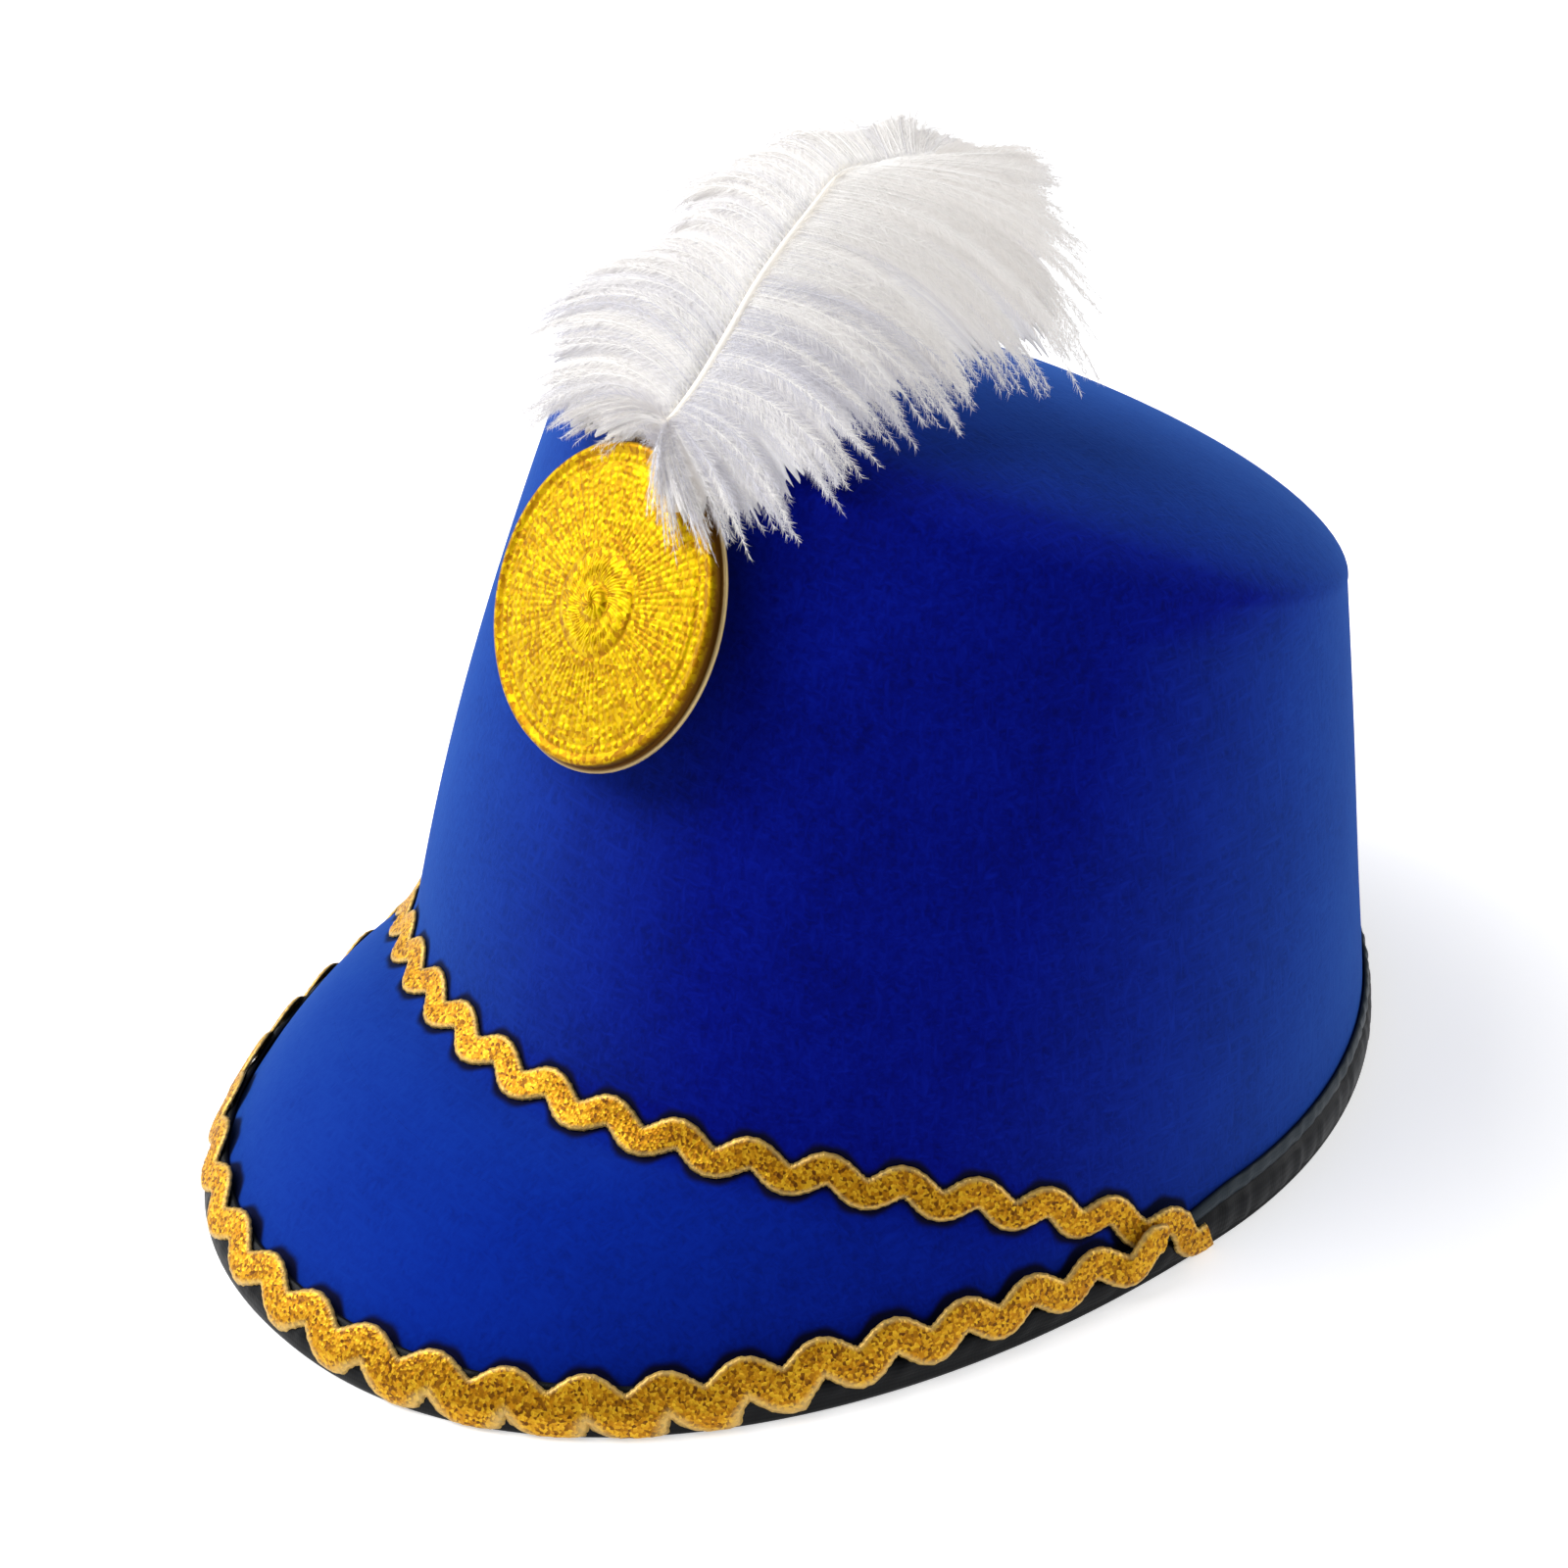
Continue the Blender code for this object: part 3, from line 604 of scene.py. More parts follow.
def make_glitter_effect():
    """Metal threads: small cells that each catch the light their own way, and a darker value between."""
    group, given, out = effect(
        "glittering_cells",
        [("Vector", "Vector", None), ("Cell", "Float", 0.0004)],
        [("Value", "Float"), ("Height", "Float")])
    per_metre = result(group, "DIVIDE", 1.0, given.outputs["Cell"])
    cells = add(group, "ShaderNodeTexVoronoi", {"Vector": given.outputs["Vector"], "Scale": per_metre})
    level = add(group, "ShaderNodeSeparateColor", {0: cells.outputs["Color"]})
    wire(group, level.outputs[0], out.inputs["Value"])
    wire(group, result(group, "MULTIPLY", level.outputs[1], cells.outputs["Distance"]), out.inputs["Height"])
    return group


glittering_cells = make_glitter_effect()


def make_braid_finish():
    """Gold lurex plait: amber in the middle, paler at the selvedges, dark between threads, glittering."""
    material, tree, shader = finish_of("gold_lurex_braid", 0.46, Metallic=0.45, Specular_IOR_Level=0.15)
    glitter = object_effect(tree, glittering_cells, Cell=0.00055)
    gold = shades(tree, glitter.outputs["Value"], *BRAID_GOLD)
    edge = spread(tree, map_place(tree)[1][1], 0.62, 0.92, 0.0, 0.70, interpolation_type="SMOOTHSTEP")
    wire(tree, blend(tree, edge, gold, linear(SELVEDGE)), shader.inputs["Base Color"])
    roughen(tree, shader, 0.8, 0.00018, glitter.outputs["Height"])
    return material


braid_finish = make_braid_finish()


def braid_path(path_distance):
    """Angles round the hat and the length of the path from the front centre to each."""
    angle = np.linspace(-BEND_END[1], BEND_END[1], 901)
    length = walked(felt_at(angle, path_distance(angle)))
    return angle, length - np.interp(0, angle, length)


def side_step(path_distance, here, ahead):
    """How far a step square to the path turns round the hat and climbs up its section."""
    _, around, up, normal = felt_frames(here, path_distance(here))
    forward = unit(felt_at(ahead, path_distance(ahead)) - felt_at(here, path_distance(here)))
    sideways = np.cross(normal, forward)
    dot = np.sum(around * up, axis=1)
    size = np.sum(around * around, axis=1)
    side_around, side_up = np.sum(sideways * around, axis=1), np.sum(sideways * up, axis=1)
    turn = (side_around - dot * side_up) / (size - dot ** 2)
    return turn, side_up - dot * turn


def make_braid(name, path_distance, crest, end, lap, drape):
    """Ric-rac along a line on the felt. Its centre waves as a cosine, its band keeps its width square to
    that wave, its section is a low dome, and four lanes of slanting threads stand up from it."""
    angle, length = braid_path(path_distance)

    # The closed section: its top from one selvedge to the other, and back underneath
    top = np.linspace(-1, 1, BRAID_COLUMNS)
    side = np.concatenate([top, top[-2:0:-3]])
    dome = np.concatenate([(1 - np.abs(top) ** 3.2) ** 0.5, 0 * top[-2:0:-3]])
    along = np.arange(-end[0], end[1], BRAID_STEP)
    phase = 2 * np.pi * (along - crest) / BRAID_PITCH
    swing = BRAID_SWING * np.cos(phase)
    slope = -BRAID_SWING * 2 * np.pi / BRAID_PITCH * np.sin(phase)
    stretch = np.sqrt(1 + slope ** 2)
    fray = 1 + 0.020 * np.sin(along * 5200) + 0.012 * np.sin(along * 8100 + 1)
    draped = np.exp(-((np.interp(along, length, angle) - DRAPE_MIDDLE) / DRAPE_SPREAD) ** 2)
    half = BRAID_HALF * fray[:, None] + 0.5 * drape * draped[:, None] * (side < 0) * -side
    ahead = along[:, None] - side * half * (slope / stretch)[:, None]
    aside = swing[:, None] + side * half / stretch[:, None]
    aside = aside * np.where(aside < 0, 1 + 0.5 * drape * draped[:, None] / (BRAID_HALF + BRAID_SWING), 1)

    # From the path to the felt: a step sideways is a turn round the hat and a climb up its section
    shape = ahead.shape
    here = np.interp(ahead, length, angle).ravel()
    turn, climb = side_step(path_distance, here, np.interp(ahead.ravel() + SMALL_STEP, length, angle))
    wanted = path_distance(here) + climb * aside.ravel()
    reach = np.maximum(wanted, FOLD_REACH)
    point, around, _, out = felt_frames(here + turn * aside.ravel(), reach)
    over = (reach - wanted)[:, None]
    out = unit(out + (level_outward(around) - out) * smooth(over / FOLD_TURN))
    point = point - over * (0, 0, FOLD_DROP)

    on_tape = 1 - smooth((reach.reshape(shape).min(axis=1) - TAPE_EDGE - TAPE_GAP) / TAPE_STEP)
    past = np.abs(along) - by_side(along, end)
    raised = lap * smooth((past + PEAK_BRAID_LAP) / PEAK_BRAID_LAP * 2)
    lift = (TAPE_GAP + TAPE_TOP * on_tape + raised)[:, None]
    lane = np.abs(side * 2) % 1
    slant = np.where(np.floor(side * 2) % 2 == 0, 1, -1) * lane
    thread = 0.5 + 0.5 * np.cos(2 * np.pi * (along[:, None] / THREAD_PITCH + 0.8 * slant))
    relief = THREAD_RELIEF * thread * (0.4 + 0.6 * np.sin(np.pi * lane)) * dome
    height = lift + (BRAID_THICK - THREAD_RELIEF) * dome + relief
    grid = point.reshape(*shape, 3) + out.reshape(*shape, 3) * height[..., None]
    grid[..., 2] = np.maximum(grid[..., 2], BRAID_LOWEST + 0.15 * height)
    chart = chart_of(along[:, None], np.abs(np.append(side[::-1], side[-1])))
    ends = np.repeat(grid[[0, -1], :BRAID_COLUMNS].mean(axis=1, keepdims=True), shape[1], axis=1)
    grid = np.concatenate([ends[:1], grid, ends[1:]])
    chart = np.concatenate([chart[:1], chart, chart[-1:]])
    return skin(name, grid[:, ::-1], braid_finish, tube=True, uv=chart)


def paint_braid_shadow(name, path_distance, crest, end):
    """Gives the felt each point's place along and beside a braid, and paints the braid's shadow on it next to
    the braid's waving sides: within the shadow band past half the band, measured square to the cosine wave."""
    angle, length = braid_path(path_distance)
    around = round_the_hat(FELT_SIDES)
    off = walked(felt_sections(around)) - path_distance(around)[:, None]
    turn, climb = side_step(path_distance, around, around + SMALL_TURN)
    slope = np.gradient(path_distance(around), around)
    beside = off / (climb - slope * turn)[:, None]
    along = np.interp(around[:, None] - turn[:, None] * beside, angle, length)
    near = (np.abs(beside) < SHADOW_CHARTED) & (along > SHADOW_STOP - end[0]) & (along < end[1] - SHADOW_STOP)
    near &= (np.abs(around) < BEND_END[1])[:, None]
    tree = felt_body.data.materials[0].node_tree
    base = tree.nodes["Principled BSDF"].inputs["Base Color"]
    columns = off.shape[1]
    read = []
    for label, values, blank in (("along", along - crest, 0.0), ("beside", beside, 1.0)):
        whole = np.full((FELT_SIDES, columns + columns // 2 + 2), blank)
        whole[:, -columns:] = np.where(near, values, blank)
        give_values(felt_body, name + "_" + label, whole, poles=True)
        read.append(value_of(tree, name + "_" + label))

    wave = 2 * math.pi / BRAID_PITCH
    phase = result(tree, "MULTIPLY", read[0], wave)
    off_wave = result(tree, "MULTIPLY_ADD", result(tree, "COSINE", phase), -BRAID_SWING, read[1])
    steep = result(tree, "MULTIPLY", result(tree, "SINE", phase), BRAID_SWING * wave)
    stretch = result(tree, "SQRT", result(tree, "MULTIPLY_ADD", steep, steep, 1.0))
    from_wave = result(tree, "DIVIDE", result(tree, "ABSOLUTE", off_wave), stretch)
    # Painted shadow: the felt turns near-black blue in a band along both sides of the braid.
    shade = spread(tree, from_wave, *BRAID_SHADOW_BAND, 0.95, 0.0, interpolation_type="SMOOTHSTEP")
    wire(tree, blend(tree, shade, base.links[0].from_socket, linear(BRAID_SHADOW_BLUE)), base)


for place, line, laid_over in (
        ("crown", (bend_distance, CROWN_BRAID_CREST, CROWN_BRAID_END), (0.0, 0.0)),
        ("peak", (edge_distance, PEAK_BRAID_CREST, PEAK_BRAID_END), (PEAK_BRAID_LIFT, PEAK_BRAID_DRAPE))):
    braid = make_braid(place + "_braid", *line, *laid_over)
    paint_braid_shadow(place + "_braid", *line)
    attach(braid, "root")
    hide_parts(place + "_ricrac")


# Badge: a gold-coloured disc 56 mm across, stamped from thin plastic with a beaded sunburst, and glued
# by a boss on its back so that it stands just off the felt, over the plume's quill.

BADGE_ANGLE = math.radians(-1.0)
BADGE_HEIGHT = 0.1113
BADGE_LEAN = math.radians(4.0)
BADGE_TURN = math.radians(-4.5)
BADGE_LIFT = 0.0034
BADGE_SIDES = 720
RAYS = 90
RAY_START = 10.6              # from the middle (mm)
RAY_END = 24.0
BEAD = 1.25                   # along a ray (mm)
RELIEF = 0.28                 # height of the stamping (mm)
BADGE_GOLD = ((0.08, (152, 102, 0)), (0.42, (188, 146, 0)), (0.86, (222, 190, 5)))
# Painted shade: the disc's side wall is coloured dark brown all round.
SIDE_SHADE_BROWN = (88, 54, 10)
LIP_CREAM = (214, 188, 132)
BADGE_PROFILE = (
    # radius, height over the back (mm)
    (0.0, 4.7), (2.4, 4.5), (3.0, 4.0), (8.6, 3.7), (9.2, 3.5), (10.8, 3.5), (11.4, 3.35), (17.2, 3.1),
    (23.2, 2.75), (23.6, 2.6), (25.3, 2.6), (25.7, 2.75), (26.4, 3.0), (27.0, 2.9), (27.3, 2.5),
    (27.4, 1.6), (27.5, 1.0), (27.7, 0.85), (28.1, 0.9), (28.3, 0.65), (28.25, 0.2), (28.0, 0.0),
)
BADGE_BOSS = ((6.0, 0.0), (6.0, -2.4), (0.0, -2.4))
STAMPED_UNTIL = 12            # point of the profile up to which the pattern goes,
STAMPED_STEPS = 116           # in this many steps


def make_badge_finish():
    """Metallised gold plastic with a fine glittering grain; painted shade makes the stamping's hollows amber
    and its raised beads and rim paler, painted shade makes the side brown, and the lip is pale."""
    material, tree, shader = finish_of("stamped_gold", 0.44, Metallic=0.50, Specular_IOR_Level=0.05)
    glitter = object_effect(tree, glittering_cells, Cell=0.00085)
    # Painted shade: the gold is darker amber where the stamping is low and paler where it is raised.
    mixed = add(tree, "ShaderNodeMix", {0: 0.64, 2: value_of(tree, "relief"), 3: glitter.outputs["Value"]})
    gold = shades(tree, mixed.outputs[0], *BADGE_GOLD)
    zone = value_of(tree, "zone")
    # Painted shade on the side wall, then the cream lip.
    side_shade_painted = blend(tree, spread(tree, zone, 0.0, 1.0), gold, linear(SIDE_SHADE_BROWN))
    lipped = blend(tree, spread(tree, zone, 1.0, 2.0), side_shade_painted, linear(LIP_CREAM))
    wire(tree, lipped, shader.inputs["Base Color"])
    roughen(tree, shader, 0.55, 0.00016, glitter.outputs["Height"])
    return material


def bump_ring(radius, centre, width):
    """1 at the centre radius, falling to 0 at half the width on either side."""
    return smooth(1 - np.abs(radius - centre) / (width / 2))


def scatter(first, second):
    """Irregular value from 0 to 1 for each pair of whole numbers."""
    return (np.sin(first * 12.9898 + second * 78.233) * 43758.5453) % 1


def badge_relief(radius, turn):
    """Stamped pattern in millimetres: a rosette, bead rings and beaded rays. Each is a product of cosines,
    and every bead has its own height and stands a little out of line."""
    ray = np.floor(RAYS * turn / (2 * np.pi))
    across = 0.35 + 0.65 * np.abs(np.sin(RAYS / 2 * turn))
    place = (radius - RAY_START) / BEAD + 0.9 * scatter(ray, 3.0)
    bead = np.abs(np.sin(np.pi * place)) * (0.1 + 0.9 * scatter(ray, np.floor(place)))
    rays = across * (0.2 + 0.8 * bead) * smooth((radius - RAY_START) / 0.7) * smooth((RAY_END - radius) / 0.7)
    leaf = 0.5 + 0.5 * np.sin(13 * turn + 1.1 * radius) * np.sin(9 * turn - 1.7 * radius)
    petals = bump_ring(radius, 6.4, 7.0) * leaf
    veins = bump_ring(radius, 6.0, 7.0) * np.abs(np.cos(31 * turn + 2 * radius)) * 0.5
    heart = smooth((3.6 - radius) / 0.8) * np.abs(np.cos(6 * turn + 2.1 * radius)) * 0.8
    inner = bump_ring(radius, 10.0, 1.5) * np.abs(np.cos(24 * turn)) * 0.6
    outer = bump_ring(radius, 24.6, 1.6) * np.abs(np.cos(52 * turn)) * 0.85
    return (rays + petals + veins + heart + inner + outer) * RELIEF


def turned(first, second, angle):
    """Two directions, square to each other, turned in their own plane."""
    return (first * math.cos(angle) - second * math.sin(angle),
            second * math.cos(angle) + first * math.sin(angle))


def make_badge():
    """Disc turned from the profile with the stamped pattern added square to it, set against the wall."""
    angle, height = np.array([BADGE_ANGLE]), np.array([BADGE_HEIGHT])
    seat = crown_wall(angle, height)[0]
    up = unit(crown_wall(angle, height + 0.001)[0] - crown_wall(angle, height - 0.001)[0])
    across = unit(crown_wall(angle + 0.01, height)[0] - crown_wall(angle - 0.01, height)[0])
    out = unit(np.cross(across, up))
    across = np.cross(up, out)
    up, out = turned(up, out, BADGE_LEAN)
    across, out = turned(across, out, BADGE_TURN)

    profile = np.array(BADGE_PROFILE)
    step = walked(profile)
    walk = np.concatenate([np.linspace(0, step[STAMPED_UNTIL], STAMPED_STEPS), step[STAMPED_UNTIL + 1:]])
    radius, level = (np.append(np.interp(walk, step, profile[:, which]), np.array(BADGE_BOSS)[:, which])
                     for which in (0, 1))
    turn = np.linspace(0, 2 * np.pi, BADGE_SIDES, endpoint=False)[:, None]
    pattern = badge_relief(radius, turn) * (radius < 26) * (level > 1)
    level = (level + pattern) / 1000 + BADGE_LIFT
    flat = across * (radius / 1000 * np.cos(turn))[..., None] + up * (radius / 1000 * np.sin(turn))[..., None]
    grid = seat + flat + out * level[..., None]
    badge = skin("badge_disc", grid[:, ::-1], make_badge_finish(), ring=True, poles=(0, -1))
    # Painted shade and light: the colour follows the stamping's height, with the raised outer rim paler
    # still.
    shade = np.clip(pattern / RELIEF, 0, 1) + 0.45 * (radius > 25.6) * (radius < 27.2) * (level > 1)
    # Zone 0 to 1 is the side wall, which gets painted shade, 1 to 2 the lip.
    zone = np.interp(radius, (27.2, 27.4, 28.0, 28.2), (0, 1, 1, 2)) * (level > 1e-6) + 0 * turn
    give_values(badge, "relief", shade[:, ::-1], poles=True)
    give_values(badge, "zone", zone[:, ::-1], poles=True)
    return badge


badge_disc = make_badge()
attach(badge_disc, "root")
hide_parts("badge")


# Plume: one white ostrich feather, its quill pushed up behind the badge. A cream shaft curls back over
# the crown, with long limp barbs on both sides, and every barb carries hair-fine barbules that fluff
# out. The barbs on the wearer's left fall in pointed tufts, those on the right lie flatter.

PLUME_ANGLE = math.radians(-3.8)
PLUME_HEIGHT = 0.1290
QUILL_OFF = 0.00091           # its middle stands this far off the wall
BARBS = 700                   # on each side
BARB_POINTS = 14
LOWEST_BARB = 0.8             # row of the stations
BARB_RADIUS = 0.00012
BARB_SWAY = 0.0013
BARB_VARIES = (0.88, 1.0)     # share of its tuft's length, at random
TUFT_TAPER = 0.22             # the outer barbs of a tuft are this much shorter
BARBULE_STEP = 0.00013
BARBULE_LENGTH = 0.0034
BARBULE_VARIES = (0.45, 1.15)  # share of that length, at random,
BARBULE_TAPER = 0.65          # and this much less at the barb's tip
BARBULE_SLANT = (0.2, 0.95)   # from the barb's own direction (radians)
BARBULE_WIDTH = 0.00008
LOOSE = 0.30                  # how far the blades turn out of the vane
WEB_ROWS = 420                # the web of finest down under the barbs
WEB_POINTS = 16
WEB_THICK = 0.0005
FULL_ROW = 10.2               # round this row of the shaft the barbs of one side are longer
FULL_OVER = 1.0
SHAFT_TUFTS = 130             # the shaft has its own short down
STEM_RADIUS = (
    # row of the stations, radius
    (0, 0.00060), (3, 0.00080), (6, 0.00090), (10, 0.00070), (15, 0.00015),
)
SIDES_OF_PLUME = (
    # label, first_column, web_share (of the barbs' length), low_rows_shade_painted, high_rows_light_painted,
    # tufts, pull_together, shortest_tuft, longest_tuft, straighten, sweep, fuller
    ("right", 1, 0.82, 0.0, 0.25, 60, 0.20, 1.00, 1.12, 0.15, 0.85, 0.0),
    ("left", 3, 0.74, -0.28, 0.6, 100, 0.72, 0.88, 1.08, 0.50, 0.66, 0.16),
)
STEM_SUNK = ((0, 4, 7), (0.0014, 0.0010, 0.0006))   # rows, and how far the shaft lies under the stations
SHAFT_TUFT_ROWS = (2.0, 11.5)
BARBULE_DROOP = 0.15
PLUME_STATIONS = (
    # shaft, right_middle, right_tip, left_middle, left_tip (mm from the quill's root)
    ((0, -2.5, -5), (-0.4, -2.5, -5), (-0.8, -2.5, -5), (0.4, -2.5, -5), (0.8, -2.5, -5)),
    ((0, 0, 0), (-0.4, 0, 0), (-0.8, 0, 0), (0.4, 0, 0), (0.8, 0, 0)),
    ((1, 4.3, 9.5), (0.4, 4.3, 9.5), (-0.2, 4.3, 9.5), (1.6, 4.3, 9.5), (2.2, 4.3, 9.5)),
    ((2, 4, 12), (-3, 2.5, 12.5), (-8, -1.5, 6), (4, 0.5, 14), (7, -5, 13)),
    ((2.5, 3.5, 13), (-9, 2.5, 13.5), (-18.5, -2, 4), (9, -5, 13), (15, -10, 2)),
    ((3.5, 5, 15), (-14, 6, 15), (-26, -1.5, 5), (15, -1.5, 13), (24, -9, 0.5)),
    ((4, 9.5, 19), (-16, 8.5, 20), (-31, 1.5, 7.2), (18, 6, 15.5), (27, -4, 2)),
    ((4, 16, 25.5), (-17, 14, 28), (-36, 4.5, 13.5), (22, 13, 23), (34, 2, 0.5)),
    ((4, 22, 32), (-17, 23, 32), (-35, 11.5, 22), (24, 21, 28.5), (38, 9, 10.5)),
    ((4, 28.5, 37.5), (-16, 29.5, 36), (-28, 27, 24), (26, 30.5, 34.5), (39, 21.5, 13.5)),
    ((4, 35.5, 42.5), (-15, 37, 41.5), (-32, 34, 27.5), (27, 41, 39.5), (39, 36, 13.5)),
    ((4, 41, 46), (-14, 44.5, 44), (-28, 40, 36), (27, 50, 44), (39, 52, 14)),
    ((5, 46, 46), (-11, 51, 46), (-20, 51, 37), (25, 56, 47), (40, 58.5, 26.5)),
    ((7, 51, 46.5), (-4, 56, 47), (-11, 58, 43), (22, 60, 47), (34, 66.5, 35.5)),
    ((9, 55.5, 46), (3, 62, 46.5), (0, 66, 45), (17, 65, 46), (20, 74.5, 41)),
    ((9.5, 57, 46), (10, 65, 45.5), (9, 71, 42), (12, 66, 45.5), (13, 73, 41)),
)
KERATIN_AND_PAINTED_GLOW = {              # painted light: the emission glows in place of light coming through the barbs
    "Sheen_Weight": 0.3, "Sheen_Roughness": 0.5, "Subsurface_Radius": (1, 1, 1),
    "Emission_Color": linear((255, 250, 246)),
}
OUT_OF_CROWN = np.array([0, -0.4, 1.0])
chance = np.random.default_rng(11)


def table_curve(rows, at):
    """Smooth Catmull-Rom curve through the rows of a table, read at fractional row numbers."""
    last = len(rows) - 1
    left = np.clip(at.astype(int), 0, last - 1)
    share = (at - left)[:, None]
    here, there = rows[left], rows[left + 1]
    before, after = rows[np.maximum(left - 1, 0)], rows[np.minimum(left + 2, last)]
    square = 2 * before - 5 * here + 4 * there - after
    cube = 3 * here - before - 3 * there + after
    return 0.5 * (2 * here + (there - before) * share + square * share ** 2 + cube * share ** 3)


def plume_table():
    """The stations in metres from the root, and the root's place on the crown's front."""
    angle, height = np.array([PLUME_ANGLE]), np.array([PLUME_HEIGHT])
    wall = crown_wall(angle, height)[0]
    rise = unit(crown_wall(angle, height + 0.001)[0] - wall)
    root = wall + np.cross((1, 0, 0), rise) * QUILL_OFF
    return np.array(PLUME_STATIONS).reshape(-1, 15) / 1000, root


def fullness(rows):
    """How much of their extra length the barbs rooted in these rows have."""
    return np.exp(-((rows - FULL_ROW) / FULL_OVER) ** 2)


def parabola(shaft, middle, tip, reach, straighten):
    """Points along parabolas that pass the middle, drawn towards the straight line, on the way to the tip."""
    chord = (shaft + tip) / 2
    middle = middle + (chord - middle) * straighten
    return shaft * (1 - reach) ** 2 + (2 * middle - chord) * 2 * reach * (1 - reach) + tip * reach ** 2


def facing_out(face):
    """Directions turned so that they look away from the crown."""
    return unit(face) * np.sign(face @ OUT_OF_CROWN)[..., None]


def tubes(name, paths, radii, finish, tones_with_painted_light, sides=3):
    """Many thin closed tubes: paths is (count, points, 3) and radii (count, points). Each ring stands
    square to its path, and both ends are drawn to a point."""
    count, points = paths.shape[:2]
    ahead = unit(np.gradient(paths, axis=1))
    first = unit(np.cross(ahead, np.array([0.31, 0.17, 0.93])))
    second = np.cross(ahead, first)
    turn = np.arange(sides) * 2 * np.pi / sides
    ring = first[:, :, None] * np.cos(turn)[:, None] + second[:, :, None] * np.sin(turn)[:, None]
    grid = paths[:, :, None] + ring * radii[:, :, None, None]
    index = np.arange(count * points * sides).reshape(count, points, sides)
    index = np.concatenate([index, index[:, :, :1]], axis=2)
    quads = np.stack([index[:, :-1, :-1], index[:, :-1, 1:], index[:, 1:, 1:], index[:, 1:, :-1]], axis=-1)
    mesh = bpy.data.meshes.new(name)
    caps = [index[:, 0, -2::-1].tolist(), index[:, -1, :-1].tolist()]
    mesh.from_pydata(grid.reshape(-1, 3).tolist(), [], quads.reshape(-1, 4).tolist() + caps[0] + caps[1])
    mesh.shade_smooth()
    piece = placed(name, mesh, finish)
    give_values(piece, "tone_with_painted_light", np.repeat(tones_with_painted_light, points * sides))
    return piece


def make_feather_finish(name, colour, shade, translucent):
    """Dull keratin: warm white, each barb a little lighter or greyer as its tone attribute says, partly at
    random and partly as painted shade and light by row, with a painted glow.
    """
    material, tree, shader = finish_of(name, 0.62, Specular_IOR_Level=0.25, Subsurface_Weight=translucent,
                                       Subsurface_Scale=0.002, **KERATIN_AND_PAINTED_GLOW)
    tone_with_painted_light = value_of(tree, "tone_with_painted_light")
    wire(tree, shades(tree, tone_with_painted_light, (0.0, shade), (0.6, colour)), shader.inputs["Base Color"])
    # Painted light: the barbs glow, more as their tone rises.
    wire(tree, spread(tree, tone_with_painted_light, 0.0, 1.5, 0.11, 0.23), shader.inputs["Emission Strength"])
    return material


def vane(table, rows, column, sweep):
    """Points on the shaft at these rows, and the middle and tip of their barbs, swept towards the end."""
    first, last = LOWEST_BARB, len(table) - 1
    share = np.clip((rows - first) / (last - first), 0, 1)
    swept = first + (last - first) * share ** sweep
    places = ((rows, 0), ((rows + swept) / 2, column), (swept, column + 1))
    return [table_curve(table, np.clip(at.ravel(), 0, last)).reshape(*rows.shape, 5, 3)[..., which, :]
            for at, which in places]


def barb_paths(column, rows, tufts, pull, shortest, longest, straighten, sweep, fuller):
    """Barbs on one side: parabolas from the shaft through the middle to the tip. Towards their tips they
    draw to the row of their own tuft, whose length is its own, and wander a little off the vane."""
    table, root = plume_table()
    share = np.linspace(0, 1, BARB_POINTS)[None] ** 0.9
    heads = np.sort(chance.uniform(LOWEST_BARB, len(PLUME_STATIONS) - 1, tufts))
    own = np.abs(rows[:, None] - heads).argmin(axis=1)
    length = chance.uniform(shortest, longest, tufts)[own] * chance.uniform(*BARB_VARIES, len(rows))
    sway = chance.normal(0, BARB_SWAY, (tufts, 3))[own] + chance.normal(0, BARB_SWAY * 0.7, (len(rows), 3))
    length = length * (1 - TUFT_TAPER * np.minimum(np.abs(rows - heads[own]) * tufts / len(table), 1))
    length = length * (1 + fuller * fullness(rows))
    at = rows[:, None] + (heads[own] - rows)[:, None] * pull * share ** 3
    shaft, middle, tip = vane(table, at, column, sweep)
    shaft = np.repeat(shaft[:, :1], BARB_POINTS, axis=1)
    path = parabola(shaft, middle, tip, (share * length[:, None])[..., None], straighten)
    face = np.cross(np.gradient(path, axis=1), np.roll(shaft, -20, axis=0) - np.roll(shaft, 20, axis=0))
    return root + path + sway[:, None] * share[..., None] ** 1.3, facing_out(face)


def make_web_finish():
    """Down pressed together: white, with streaks along the barbs that are a little lighter or greyer, and a
    painted glow.
    """
    material, tree, shader = finish_of("white_down", 0.85, Specular_IOR_Level=0.1, Subsurface_Weight=0.9,
                                       Subsurface_Scale=0.004, Emission_Strength=0.15, **KERATIN_AND_PAINTED_GLOW)
    chart = add(tree, "ShaderNodeUVMap", uv_map="map")
    drawn = add(tree, "ShaderNodeMapping", {"Vector": chart.outputs[0], "Scale": (1500.0, 26.0, 1.0)})
    streak = add(tree, "ShaderNodeTexNoise", {"Vector": drawn.outputs[0], "Scale": 1.0, "Detail": 4.0,
                                              "Roughness": 0.65, "Distortion": 0.4})
    white = shades(tree, streak.outputs["Fac"], (0.30, (196, 196, 206)), (0.55, (229, 227, 225)))
    wire(tree, white, shader.inputs["Base Color"])
    roughen(tree, shader, 0.5, 0.0003, streak.outputs["Fac"])
    return material


